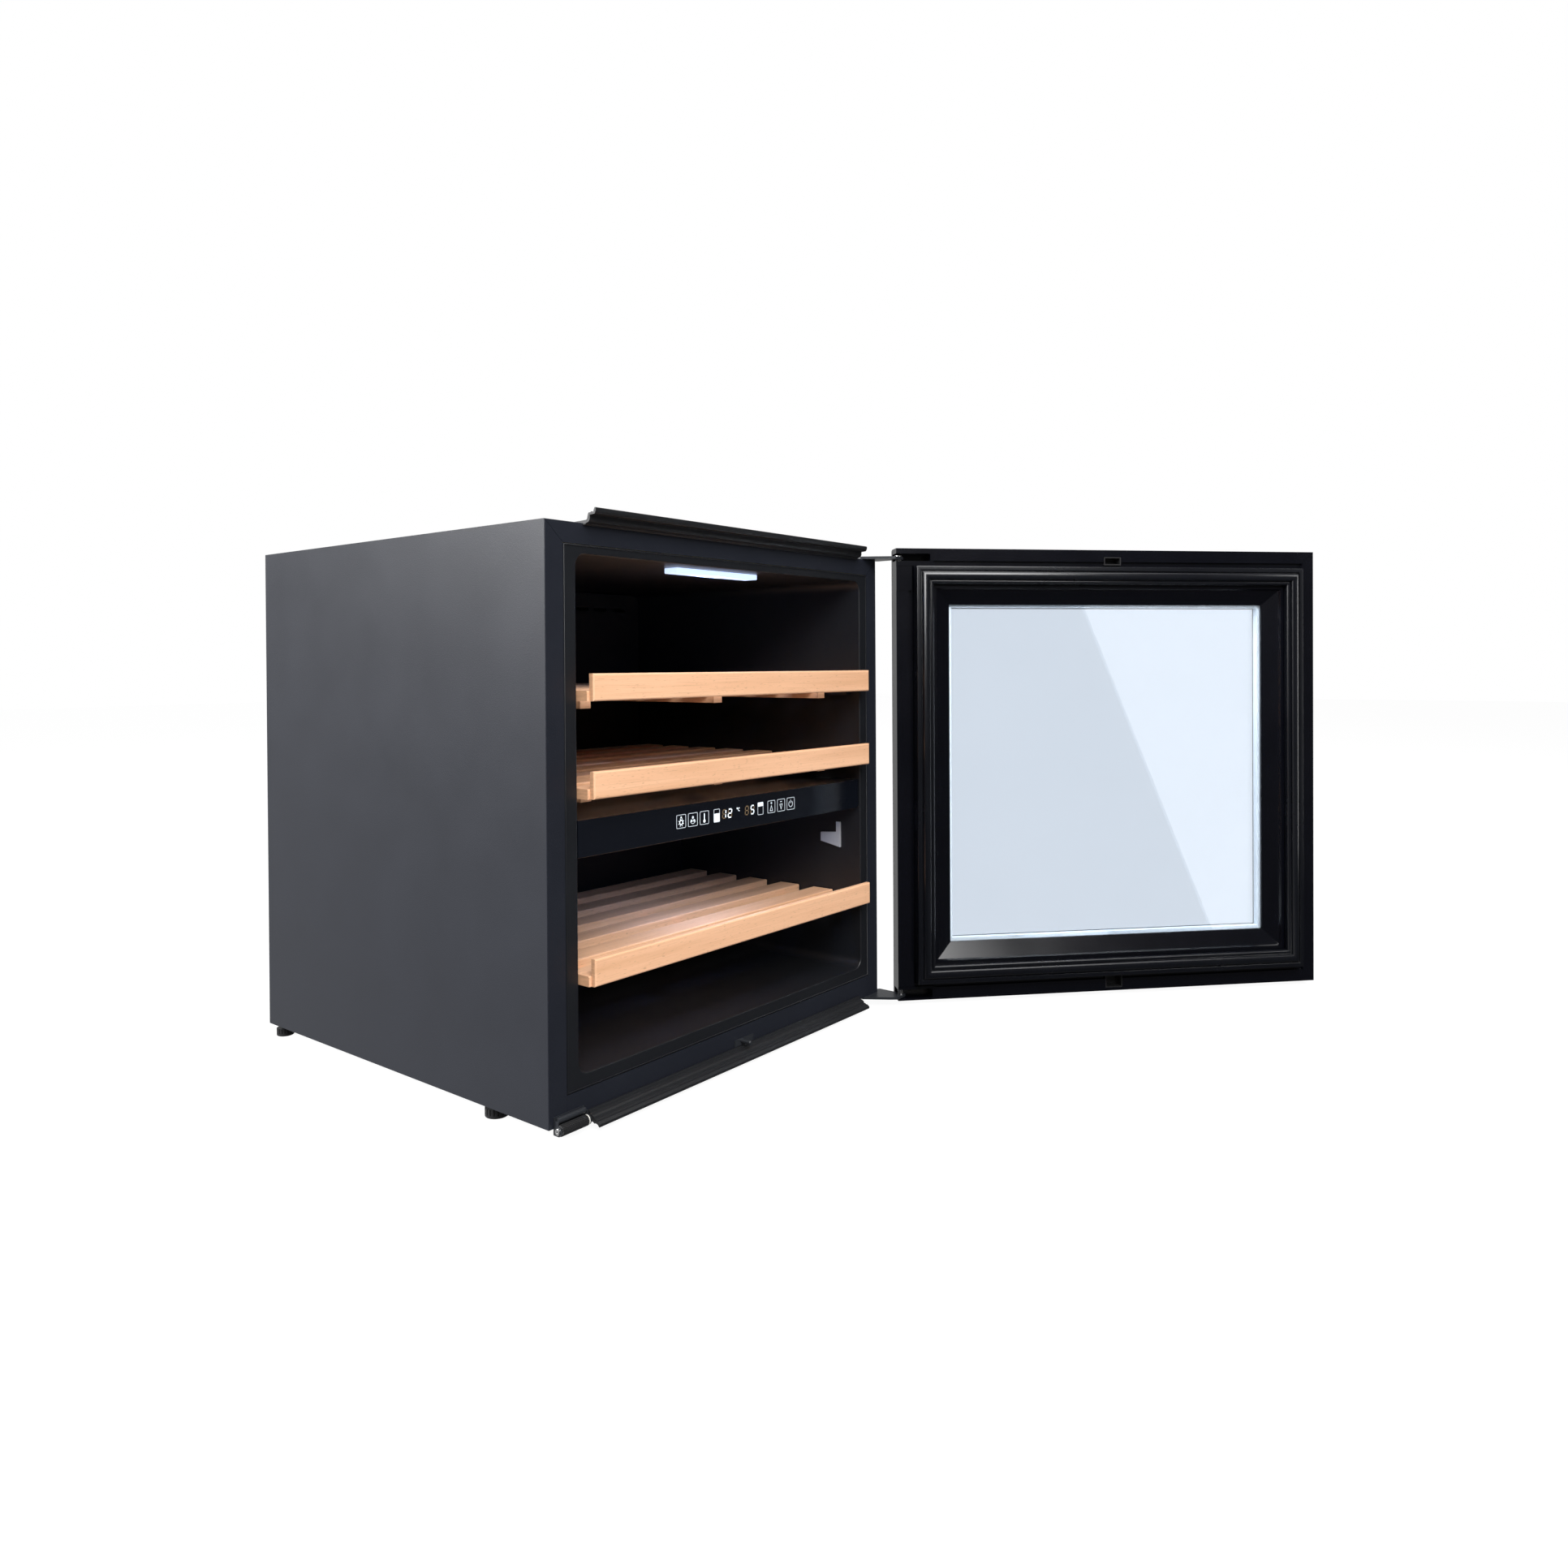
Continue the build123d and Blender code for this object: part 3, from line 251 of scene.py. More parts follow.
def clear_glass():
    """Cool low-emissivity glass with a hardly visible waviness."""
    material, shader = new_material(
        "door_glass", (0.815, 0.86, 0.915), 0.0, Transmission_Weight=1.0, IOR=1.45
    )
    tree = material.node_tree
    haze = spread(tree, noise(tree, (9.0, 9.0, 9.0), 2.0), 0.0, 1.0)
    tint = blend(tree, haze, (0.812, 0.857, 0.912), (0.818, 0.863, 0.918))
    tree.links.new(tint, shader.inputs["Base Color"])
    return material


def glowing(name, colour, strength):
    """A lit lens or a lit part of the display; also the faint painted glow of the display's unlit segments.
    """
    material, shader = new_material(name, shaded(colour, 0.8), 0.35)
    tree = material.node_tree
    tint = blend(tree, noise(tree, (60.0, 60.0, 60.0)), shaded(colour, 0.94), colour)
    tree.links.new(tint, shader.inputs["Emission Color"])
    shader.inputs["Emission Strength"].default_value = strength
    return material


MATERIALS = {
    "case_paint": surface("case_paint", (0.0095, 0.0112, 0.0172), 0.42, (900.0,) * 3, 0.00012),
    "galvanised_steel": galvanised(),
    "rear_cover_paint": surface("rear_cover_paint", (0.03, 0.031, 0.033), 0.5, (700.0,) * 3, 0.00005),
    "liner_plastic": surface("liner_plastic", (0.007, 0.0078, 0.010), 0.4, (1600.0,) * 3, 0.00003),
    "duct_plastic": surface("duct_plastic", (0.010, 0.010, 0.011), 0.48, (1800.0,) * 3, 0.00004),
    "foam": surface("foam", (0.78, 0.66, 0.36), 0.9, (420.0,) * 3, 0.0004, change=0.1),
    "divider_plastic": surface("divider_plastic", (0.010, 0.0105, 0.012), 0.36, (1800.0,) * 3, 0.00002),
    "panel_glass": surface("panel_glass", (0.004, 0.005, 0.008), 0.12),
    "circuit_board": board_green(),
    "light_lens": glowing("light_lens", (0.55, 0.68, 1.0), 1.3),
    "grey_plastic": surface("grey_plastic", (0.30, 0.31, 0.33), 0.45, (1500.0,) * 3, 0.00003),
    "black_plastic": surface("black_plastic", (0.012, 0.012, 0.013), 0.42, (1500.0,) * 3, 0.00004),
    "coil_aluminium": brushed("coil_aluminium", (0.74, 0.75, 0.76), (900.0, 900.0, 60.0), 0.34),
    "compressor_black": surface("compressor_black", (0.008, 0.008, 0.009), 0.24, (500.0,) * 3, 0.00006),
    "copper_pipe": brushed("copper_pipe", (0.80, 0.36, 0.20), (50.0, 700.0, 700.0), 0.28),
    "tray_plastic": surface("tray_plastic", (0.55, 0.56, 0.57), 0.5, (1200.0,) * 3, 0.00004, change=0.05),
    "trim_vinyl": surface("trim_vinyl", (0.010, 0.0105, 0.012), 0.4, (60.0, 1500.0, 1500.0), 0.000008),
    "hinge_paint": surface("hinge_paint", (0.018, 0.020, 0.024), 0.34, (1300.0,) * 3, 0.00003),
    "pin_steel": brushed("pin_steel", (0.62, 0.62, 0.62), (900.0, 900.0, 900.0), 0.26),
    "screw_steel": brushed("screw_steel", (0.36, 0.36, 0.37), (1200.0,) * 3, 0.36),
    "door_glass": clear_glass(),
    "spacer_aluminium": surface(
        "spacer_aluminium", (0.62, 0.69, 0.75), 0.42, (900.0,) * 3, 0.00002, metallic=0.25
    ),
    "door_black": surface("door_black", (0.0012, 0.0014, 0.003), 0.2),
    "gasket_rubber": surface("gasket_rubber", (0.002, 0.0024, 0.004), 0.26),
    "bush_nylon": surface("bush_nylon", (0.70, 0.69, 0.64), 0.45, (1500.0,) * 3, 0.00002, change=0.05),
    "beech": beech(),
}
SYMBOL_WHITE = glowing("symbol_white", (0.86, 0.94, 1.0), 0.85)
# the display's unlit segments get a faint painted glow, though they give no light of their own
SYMBOL_DIM_PAINTED_GLOW = glowing("symbol_dim_painted_glow", (0.16, 0.11, 0.06), 0.3)
SYMBOL_LINE = glowing("symbol_line", (0.62, 0.68, 0.74), 0.55)


def finish_cad_nodes():
    """Gives each CAD node the finish of the material slot that the record names for it."""
    slots = {entry["node"]: entry["material_slot"] for entry in frame["record"]["subparts"]}
    for name, piece in frame["nodes"].items():
        piece.data.materials.clear()
        piece.data.materials.append(MATERIALS[slots[name]])
    for name in ("door_outer_glass", "door_inner_glass"):
        frame["nodes"][name].visible_shadow = False


# ---- mesh helpers -------------------------------------------------------------------------------------
X_AXIS = Vector((1, 0, 0))
Y_AXIS = Vector((0, 1, 0))
TURNED_SEGMENTS = 40
NEARLY_STRAIGHT = math.radians(172)
LONGEST_CUT = 0.45  # of an outline's side, at each of its ends


def make_piece(name, mesh_data, slot, body, material=None):
    """A named object from bmesh data in millimetres, finished and riding on a body of the frame.

    Pieces of the door are drawn on the closed door and swung to its rest place here.
    """
    bmesh.ops.recalc_face_normals(mesh_data, faces=mesh_data.faces)
    mesh = bpy.data.meshes.new(name)
    mesh_data.to_mesh(mesh)
    mesh_data.free()
    mesh.transform(Matrix.Scale(MM, 4))
    if body == "door":
        mesh.transform(DOOR_SWING)
    piece = bpy.data.objects.new(name, mesh)
    bpy.context.scene.collection.objects.link(piece)
    mesh.materials.append(material or MATERIALS[slot])
    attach(piece, body)
    return piece


def smooth(piece, angle=32.0):
    """Smooth shading, with creases kept where faces meet at more than the angle."""
    mesh = piece.data
    mesh.shade_smooth()
    mesh.set_sharp_from_angle(angle=math.radians(angle))
    return piece


def rounded(points, radius, steps=4):
    """A closed outline with each corner replaced by a small arc, as large as its neighbours allow."""
    result = []
    count = len(points)
    for index, corner in enumerate(points):
        here = Vector(corner)
        before = Vector(points[index - 1]) - here
        after = Vector(points[(index + 1) % count]) - here
        turn = before.angle(after)
        if turn > NEARLY_STRAIGHT:
            result.append(tuple(here))
            continue
        longest = LONGEST_CUT * min(before.length, after.length)
        reach = min(radius / math.tan(turn / 2), longest)
        start = here + before.normalized() * reach
        end = here + after.normalized() * reach
        for step in range(steps + 1):
            t = step / steps
            spot = start * (1 - t) ** 2 + here * 2 * t * (1 - t) + end * t**2
            result.append((spot.x, spot.y))
    return result


def bridge(mesh_data, loops, closed_path):
    """Skins a list of vertex loops one after the other, and back to the first if the path is closed."""
    count = len(loops)
    last = count if closed_path else count - 1
    size = len(loops[0])
    for index in range(last):
        one = loops[index]
        two = loops[(index + 1) % count]
        for spot in range(size):
            following = (spot + 1) % size
            mesh_data.faces.new((one[spot], one[following], two[following], two[spot]))


def mitred_ring(name, outline, slot):
    """A profile run around the door with mitred corners; the outline holds (inset, y) points."""
    mesh_data = bmesh.new()
    loops = []
    for side, top in ((1, False), (1, True), (-1, True), (-1, False)):
        loop = []
        for inset, y in outline:
            z = DOOR_HIGH - inset if top else DOOR_LOW + inset
            loop.append(mesh_data.verts.new((side * (DOOR_HALF - inset), y, z)))
        loops.append(loop)
    bridge(mesh_data, loops, True)
    return make_piece(name, mesh_data, slot, "door")


def moulding(name, outline, ends, slot, body):
    """A profile of (y, z) points run along x between the two ends, with closed ends."""
    mesh_data = bmesh.new()
    loops = [[mesh_data.verts.new((x, y, z)) for y, z in outline] for x in ends]
    bridge(mesh_data, loops, False)
    for loop in loops:
        cap = mesh_data.faces.new(loop)
        bmesh.ops.triangulate(mesh_data, faces=[cap])
    return make_piece(name, mesh_data, slot, body)


def ring(mesh_data, centre, axis, side, radii):
    """A loop of vertices evenly spread around an axis, starting at side, with one radius for each."""
    third = axis.cross(side)
    loop = []
    for index, radius in enumerate(radii):
        angle = 2 * math.pi * index / len(radii)
        out = side * math.cos(angle) + third * math.sin(angle)
        loop.append(mesh_data.verts.new(Vector(centre) + out * radius))
    return loop


def capped(mesh_data, loops):
    """Skins the loops and closes both ends."""
    bridge(mesh_data, loops, False)
    mesh_data.faces.new(loops[0])
    mesh_data.faces.new(loops[-1])


def turned(mesh_data, outline, centre, axis, side):
    """A turned shape: outline points are (distance along the axis, radius)."""
    loops = []
    for distance, radius in outline:
        loops.append(ring(mesh_data, centre + axis * distance, axis, side, [radius] * TURNED_SEGMENTS))
    capped(mesh_data, loops)


# ---- door pieces --------------------------------------------------------------------------------------
def door_gasket():
    """Magnetic gasket: flat outer band, a groove, a bulbous ridge and an inner lip."""
    outline = [
        (23.6, -14.0),
        (23.6, -5.6),
        (24.4, -4.4),
        (29.4, -4.0),
        (29.9, -6.2),
        (30.9, -6.2),
        (31.4, -3.4),
        (33.0, -2.0),
        (35.2, -1.2),
        (37.6, -1.2),
        (39.8, -2.0),
        (41.2, -3.4),
        (41.6, -6.0),
        (42.6, -6.4),
        (43.0, -4.6),
        (45.6, -4.8),
        (46.9, -6.4),
        (47.2, -14.0),
    ]
    gasket = mitred_ring("door_gasket_profile", rounded(outline, radius=0.7), "gasket_rubber")
    smooth(gasket, angle=50.0)
    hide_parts("door_gasket")


def glass_print():
    """Black border printed on the back of the outer glass."""
    outer, inner = PRINT_INSETS
    front, back = PRINT_Y
    outline = [(outer, front), (outer, back), (inner, back), (inner, front)]
    mitred_ring("door_glass_print", outline, "door_black")


# ---- front mouldings, sections as (y, z) points with z from the case's top or bottom edge --------------
TOP_TRIM = [
    (15, 0),
    (15, 1.8),
    (-4.6, 2.6),
    (-6.6, 3.4),
    (-7.6, 5.4),
    (-7.6, 8.6),
    (-8.6, 9.4),
    (-11.0, 9.3),
    (-11.6, 10.0),
    (-12.8, 10.0),
    (-13.3, 9.3),
    (-15.0, 9.6),
    (-16.2, 13.0),
    (-17.4, 13.8),
    (-18.4, 13.0),
    (-18.2, 10.0),
    (-16.6, 7.6),
    (-14.0, 7.2),
    (-9.8, 7.0),
    (-9.8, 3.2),
    (-8.4, 0.6),
    (-5.2, -0.2),
    (-3.4, -1.0),
    (-2.4, -2.2),
    (0, -2.2),
    (0, 0),
]
BOTTOM_TRIM = [
    (15, 0),
    (15, -1.8),
    (-1, -1.8),
    (-3.4, -3.2),
    (-5.4, -4.6),
    (-9.0, -4.9),
    (-9.6, -5.7),
    (-11.0, -5.8),
    (-11.6, -5.2),
    (-15.0, -5.8),
    (-16.4, -7.4),
    (-17.6, -8.0),
    (-18.4, -7.2),
    (-18.2, -5.0),
    (-15.4, -3.0),
    (-12.8, -2.7),
    (-12.2, -1.9),
    (-10.6, -1.9),
    (-9.6, 0.2),
    (-7.6, 1.6),
    (-4.2, 2.4),
    (-3.4, 5.2),
    (0, 5.2),
    (0, 0),
]


def trims():
    """Stepped black mouldings over and under the front flange."""
    for name, outline, level in (("top_trim", TOP_TRIM, CASE_HIGH), ("bottom_trim", BOTTOM_TRIM, CASE_LOW)):
        points = [(y, level + z) for y, z in rounded(outline, radius=0.5, steps=3)]
        strip = moulding(f"{name}_moulding", points, (-TRIM_HALF, TRIM_HALF), "trim_vinyl", "cabinet")
        smooth(strip, angle=40.0)
        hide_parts(f"{name}_strip")


def rim_bead():
    """Small rounded bead along the outer edge of the liner's rim."""
    half, low, high = RIM_EDGE
    mesh_data = bmesh.new()
    loops = []
    for side, level, out in ((1, low, -1), (1, high, 1), (-1, high, 1), (-1, low, -1)):
        loop = []
        for index in range(BEAD_SEGMENTS):
            angle = 2 * math.pi * index / BEAD_SEGMENTS
            reach = BEAD_RADIUS * math.cos(angle)
            y = BEAD_Y + BEAD_RADIUS * math.sin(angle)
            spot = (side * (half + reach), y, level + out * reach)
            loop.append(mesh_data.verts.new(spot))
        loops.append(loop)
    bridge(mesh_data, loops, True)
    smooth(make_piece("liner_rim_bead", mesh_data, "liner_plastic", "cabinet"), angle=60.0)


# ---- roller -------------------------------------------------------------------------------------------
def roller():
    """Fluted rubber roller with a pale end washer, on a steel axle."""
    y, z = ROLLER_AXIS
    left, right = ROLLER_ENDS
    tyre_right = right - 1.0  # the washer fills the rest
    chamfer = 0.7
    points = 4 * FLUTES
    flute = [FLUTE_DEPTH if index % 4 == 0 else 0.0 for index in range(points)]
    mesh_data = bmesh.new()
    loops = []
    for x, shrink in (
        (left, chamfer),
        (left + chamfer, 0.0),
        (tyre_right - chamfer, 0.0),
        (tyre_right, chamfer),
    ):
        radii = [ROLLER_RADIUS - shrink - depth for depth in flute]
        loops.append(ring(mesh_data, (x, y, z), X_AXIS, Y_AXIS, radii))
    for x in (tyre_right, left):
        loops.append(ring(mesh_data, (x, y, z), X_AXIS, Y_AXIS, [ROLLER_BORE] * points))
    bridge(mesh_data, loops, True)
    tyre = make_piece("roller_fluted_tyre", mesh_data, "black_plastic", "support_roller")
    smooth(tyre, angle=30.0)
    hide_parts("door_roller")

    mesh_data = bmesh.new()
    outline = [(0, 4.6), (0.2, 5.1), (0.8, 5.1), (0.95, 4.6)]
    turned(mesh_data, outline, Vector((right - 0.96, y, z)), X_AXIS, Y_AXIS)
    smooth(make_piece("roller_washer", mesh_data, "bush_nylon", "support_roller"))

    mesh_data = bmesh.new()
    outline = [(0, 3.2), (0.9, 3.2), (1.4, 2.7), (1.4, 0.9), (1.1, 0.6)]
    turned(mesh_data, outline, Vector((left - 1.6, y, z)), -X_AXIS, Y_AXIS)
    smooth(make_piece("roller_axle_head", mesh_data, "pin_steel", "cabinet"))


# ---- screws -------------------------------------------------------------------------------------------
# heights and radii as shares of the head's radius
DOME = ((-0.2, 1.0), (0.22, 1.0), (0.42, 0.86), (0.52, 0.62))
RECESS_HEIGHTS = (0.54, 0.18)
RECESS_CORE = 0.14
RECESS_ARM = 0.40
RECESS_NARROWING = 2.2
SCREW_SEGMENTS = 32


def cross_screw(mesh_data, centre, axis, radius):
    """A domed screw head with a cross recess."""
    quarter = SCREW_SEGMENTS // 4
    cross = []
    for index in range(SCREW_SEGMENTS):
        on_arm = abs(index % quarter - quarter / 2) / (quarter / 2)  # 1 along an arm, 0 between two
        cross.append(RECESS_CORE + RECESS_ARM * max(0.0, 1 - RECESS_NARROWING * (1 - on_arm)))
    profile = [(height, [share] * SCREW_SEGMENTS) for height, share in DOME]
    profile += [(height, cross) for height in RECESS_HEIGHTS]
    loops = []
    for height, shares in profile:
        level = Vector(centre) + axis * height * radius
        loops.append(ring(mesh_data, level, axis, X_AXIS, [radius * share for share in shares]))
    capped(mesh_data, loops)


MOULDING_SCREWS = (
    (-222.0, -0.4, CASE_LOW + 3.6),
    (-214.0, -0.4, CASE_LOW + 3.6),
    (222.0, -7.6, CASE_HIGH + 7.0),
)
MOULDING_SCREW_RADIUS = 1.5
REAR_COVER_SCREWS = ((-268.0, -90.0, 90.0, 268.0), (22.0, 222.0))  # columns in x, rows in z
BACK_PANEL_SCREWS = ((-268.0, 0.0, 268.0), (240.0, 576.0))
REAR_SCREW_RADIUS = 3.2
BACK_Y = 520.4


def screws():
    """Screws of the mouldings, the rear cover and the back panel."""
    mesh_data = bmesh.new()
    for place in MOULDING_SCREWS:
        cross_screw(mesh_data, place, -Y_AXIS, MOULDING_SCREW_RADIUS)
    make_piece("moulding_screws", mesh_data, "screw_steel", "cabinet")

    mesh_data = bmesh.new()
    for columns, rows in (REAR_COVER_SCREWS, BACK_PANEL_SCREWS):
        for x in columns:
            for z in rows:
                cross_screw(mesh_data, (x, BACK_Y, z), Y_AXIS, REAR_SCREW_RADIUS)
    make_piece("rear_screws", mesh_data, "screw_steel", "cabinet")


# ---- control panel symbols, flat shapes just in front of the panel glass ------------------------------
SYMBOL_BACK = PANEL_Y + 0.02
SYMBOL_FRONT = PANEL_Y - 0.13
KEY_LOW = 275.0
KEY_HIGH = 289.0
SIGN_MIDDLE = 282.0
KEY_SPANS = ((-102.0, -88.0), (-84.0, -69.6), (-65.5, -51.5), (51.0, 64.4), (69.0, 83.0), (87.3, 101.7))


def plate(mesh_data, points):
    """A thin flat shape from (x, z) points that run around it."""
    back = [mesh_data.verts.new((x, SYMBOL_BACK, z)) for x, z in points]
    front = [mesh_data.verts.new((x, SYMBOL_FRONT, z)) for x, z in points]
    capped(mesh_data, [back, front])


def stroke(mesh_data, points, width, closed=False):
    """A line of the given width through (x, z) points."""
    spots = [Vector(point) for point in points]
    count = len(spots)
    loops = []
    for index, here in enumerate(spots):
        before = spots[index - 1] if closed or index > 0 else here
        after = spots[(index + 1) % count] if closed or index < count - 1 else here
        leaving = (after - here) if index < count - 1 or closed else (here - before)
        entering = (here - before) if index > 0 or closed else leaving
        leaving = leaving.normalized()
        entering = entering.normalized()
        along = (entering + leaving).normalized()
        across = Vector((-along.y, along.x))
        share = max(0.4, across.dot(Vector((-leaving.y, leaving.x))))  # widens the mitre at a corner
        left = here + across * width / 2 / share
        right = here - across * width / 2 / share
        corners = (
            (left.x, SYMBOL_BACK, left.y),
            (left.x, SYMBOL_FRONT, left.y),
            (right.x, SYMBOL_FRONT, right.y),
            (right.x, SYMBOL_BACK, right.y),
        )
        loops.append([mesh_data.verts.new(corner) for corner in corners])
    if closed:
        bridge(mesh_data, loops, True)
    else:
        capped(mesh_data, loops)


def arc(centre, radius, start, end, steps):
    """Points on an arc, with angles in degrees anticlockwise from +x."""
    points = []
    for step in range(steps + 1):
        angle = math.radians(start + (end - start) * step / steps)
        points.append((centre[0] + radius * math.cos(angle), centre[1] + radius * math.sin(angle)))
    return points


def key_outline(mesh_data, left, right, corner=1.2):
    """The rounded square around a key's sign, or around a zone sign."""
    points = []
    for x, z, start in (
        (right - corner, KEY_HIGH - corner, 0),
        (left + corner, KEY_HIGH - corner, 90),
        (left + corner, KEY_LOW + corner, 180),
        (right - corner, KEY_LOW + corner, 270),
    ):
        points += arc((x, z), corner, start, start + 90, 4)
    stroke(mesh_data, points, 0.5, closed=True)


SEGMENTS = {
    "a": ((0.0, 1.0), (1.0, 1.0)),
    "b": ((1.0, 1.0), (1.0, 0.5)),
    "c": ((1.0, 0.5), (1.0, 0.0)),
    "d": ((0.0, 0.0), (1.0, 0.0)),
    "e": ((0.0, 0.5), (0.0, 0.0)),
    "f": ((0.0, 1.0), (0.0, 0.5)),
    "g": ((0.0, 0.5), (1.0, 0.5)),
}
SHOWN = {"1": "bc", "2": "abged", "5": "afgcd", " ": ""}
# figure, left, right and low edge of each place in the two temperatures
FIGURES = (
    ("1", -29.0, -22.6, 277.2),
    ("2", -19.6, -12.6, 277.2),
    (" ", 9.8, 16.6, 276.9),
    ("5", 19.8, 26.4, 276.9),
)
FIGURE_HIGH = 287.6


def digit(lit, dim, figure, left, right, low, high):
    """A seven-segment figure: its lit segments go to one mesh and the others to the dim one."""
    width = 1.3
    lean = 0.06 * (high - low)
    for name, (start, end) in SEGMENTS.items():
        points = []
        for share in (0.13, 0.87):  # short of both ends, so that the segments stay apart
            spot = Vector(start).lerp(Vector(end), share)
            x = left + width / 2 + spot.x * (right - left - width) + lean * (spot.y - 0.5)
            points.append((x, low + width / 2 + spot.y * (high - low - width)))
        stroke(lit if name in SHOWN[figure] else dim, points, width)


def bulb_sign(mesh_data, x, z):
    """A lamp with rays."""
    stroke(mesh_data, arc((x, z), 2.3, 0, 342, 18), 0.8, closed=True)
    for step in range(8):
        angle = math.radians(45 * step + 22.5)
        near = (x + 3.1 * math.cos(angle), z + 3.1 * math.sin(angle))
        far = (x + 4.4 * math.cos(angle), z + 4.4 * math.sin(angle))
        stroke(mesh_data, [near, far], 0.6)
    plate(mesh_data, [(x - 0.9, z + 4.4), (x + 0.9, z + 4.4), (x + 0.9, z + 6.0), (x - 0.9, z + 6.0)])


def fan_sign(mesh_data, x, z):
    """A three-bladed fan."""
    for turn in (90, 210, 330):
        angle = math.radians(turn)
        tip = (x + 2.3 * math.cos(angle), z + 2.3 * math.sin(angle))
        plate(mesh_data, arc(tip, 1.5, 0, 337.5, 15))
    stroke(mesh_data, arc((x, z), 4.3, 200, 340, 12), 0.5)


def thermometer_sign(mesh_data, x, z):
    """A thermometer."""
    stroke(mesh_data, [(x, z - 2.5), (x, z + 4.8)], 1.2)
    plate(mesh_data, arc((x, z - 3.6), 1.7, 0, 345, 23))


def zone_sign(lit, line, left, right, filled):
    """An upright cabinet with its lower or upper zone filled."""
    key_outline(line, left, right, corner=0.9)
    bottom, top = filled
    plate(lit, [(left + 0.4, bottom), (right - 0.4, bottom), (right - 0.4, top), (left + 0.4, top)])


def arrow_sign(mesh_data, x, z, up):
    """A triangle with a short bar over it, for warmer and colder."""
    if up:
        points = [(x - 2.4, z - 4.6), (x + 2.4, z - 4.6), (x, z + 1.2)]
    else:
        points = [(x - 2.4, z + 1.2), (x + 2.4, z + 1.2), (x, z - 4.6)]
    stroke(mesh_data, points, 0.6, closed=True)
    stroke(mesh_data, [(x - 1.8, z + 4.2), (x + 1.8, z + 4.2)], 0.7)
    if up:
        stroke(mesh_data, [(x, z + 2.6), (x, z + 5.8)], 0.7)


def degree_sign(mesh_data):
    """A small ring and an open C after the first temperature."""
    stroke(mesh_data, arc((-3.6, 286.4), 0.8, 0, 330, 11), 0.5, closed=True)
    stroke(mesh_data, arc((-0.4, 285.0), 1.7, 55, 305, 12), 0.6)


def power_sign(mesh_data, x, z):
    """A broken ring with a bar."""
    stroke(mesh_data, arc((x, z - 0.3), 3.6, 125, 415, 28), 0.65)
    stroke(mesh_data, [(x, z + 0.6), (x, z + 4.6)], 0.65)


def panel_symbols():
    """Keys, signs and figures of the control panel."""
    lit = bmesh.new()
    dim = bmesh.new()
    line = bmesh.new()
    for left, right in KEY_SPANS:
        key_outline(line, left, right)
    bulb_sign(lit, -95.0, SIGN_MIDDLE - 1.0)
    fan_sign(line, -76.8, SIGN_MIDDLE)
    thermometer_sign(lit, -58.5, SIGN_MIDDLE)
    zone_sign(lit, line, -43.0, -33.6, filled=(275.4, 284.3))
    for figure, left, right, low in FIGURES:
        digit(lit, dim, figure, left, right, low, FIGURE_HIGH)
    degree_sign(lit)
    zone_sign(lit, line, 32.8, 42.4, filled=(284.6, 288.6))
    arrow_sign(line, 57.7, SIGN_MIDDLE, up=True)
    arrow_sign(line, 76.0, SIGN_MIDDLE, up=False)
    power_sign(line, 94.5, SIGN_MIDDLE)
    make_piece("panel_lit_signs", lit, "panel_glass", "cabinet", SYMBOL_WHITE)
    make_piece("panel_dim_segments", dim, "panel_glass", "cabinet", SYMBOL_DIM_PAINTED_GLOW)
    make_piece("panel_key_lines", line, "panel_glass", "cabinet", SYMBOL_LINE)


# ---- stage, light and camera, in metres and watts -----------------------------------------------------
def seen_directly(tree):
    """1 for rays that the camera sends straight or through glass, and 0 for the light they gather."""
    path = tree.nodes.new("ShaderNodeLightPath")
    straight = tree.nodes.new("ShaderNodeMath")
    straight.operation = "MAXIMUM"
    tree.links.new(path.outputs["Is Camera Ray"], straight.inputs[0])
    tree.links.new(path.outputs["Is Transmission Ray"], straight.inputs[1])
    return straight.outputs["Value"]


FLOOR_HALF = 14.0


def floor():
    """A plain pale floor."""
    mesh = bpy.data.meshes.new("floor")
    half = FLOOR_HALF
    corners = [(-half, -half, 0), (half, -half, 0), (half, half, 0), (-half, half, 0)]
    mesh.from_pydata(corners, [], [(0, 1, 2, 3)])
    plane = bpy.data.objects.new("floor", mesh)
    bpy.context.scene.collection.objects.link(plane)
    material, shader = new_material("floor_paper", (0.13, 0.13, 0.13), 0.9)
    shader.inputs["Emission Color"].default_value = (1.0, 1.0, 1.0, 1.0)
    tree = material.node_tree
    glow = spread(tree, seen_directly(tree), 0.35, 0.93, 0.0, 1.0)
    tree.links.new(glow, shader.inputs["Emission Strength"])
    mesh.materials.append(material)
    plane.visible_glossy = False
    plane.visible_transmission = False


def world():
    """White behind the part, and a surround that is bright behind and dim in front for reflections."""
    sky = bpy.data.worlds.new("studio")
    bpy.context.scene.world = sky
    sky.use_nodes = True
    tree = sky.node_tree
    back = tree.nodes["Background"]
    back.inputs["Color"].default_value = (1.0, 1.0, 1.0, 1.0)
    coords = tree.nodes.new("ShaderNodeTexCoord")
    split = tree.nodes.new("ShaderNodeSeparateXYZ")
    tree.links.new(coords.outputs["Generated"], split.inputs["Vector"])
    dim = spread(tree, split.outputs["Y"], 0.05, 0.52, -0.3, 0.7)
    strength = tree.nodes.new("ShaderNodeMix")
    strength.data_type = "FLOAT"
    tree.links.new(seen_directly(tree), strength.inputs["Factor"])
    gathered, straight = MIX_NUMBERS
    tree.links.new(dim, strength.inputs[gathered])
    strength.inputs[straight].default_value = 1.0
    tree.links.new(strength.outputs[MIX_NUMBER_RESULT], back.inputs["Strength"])


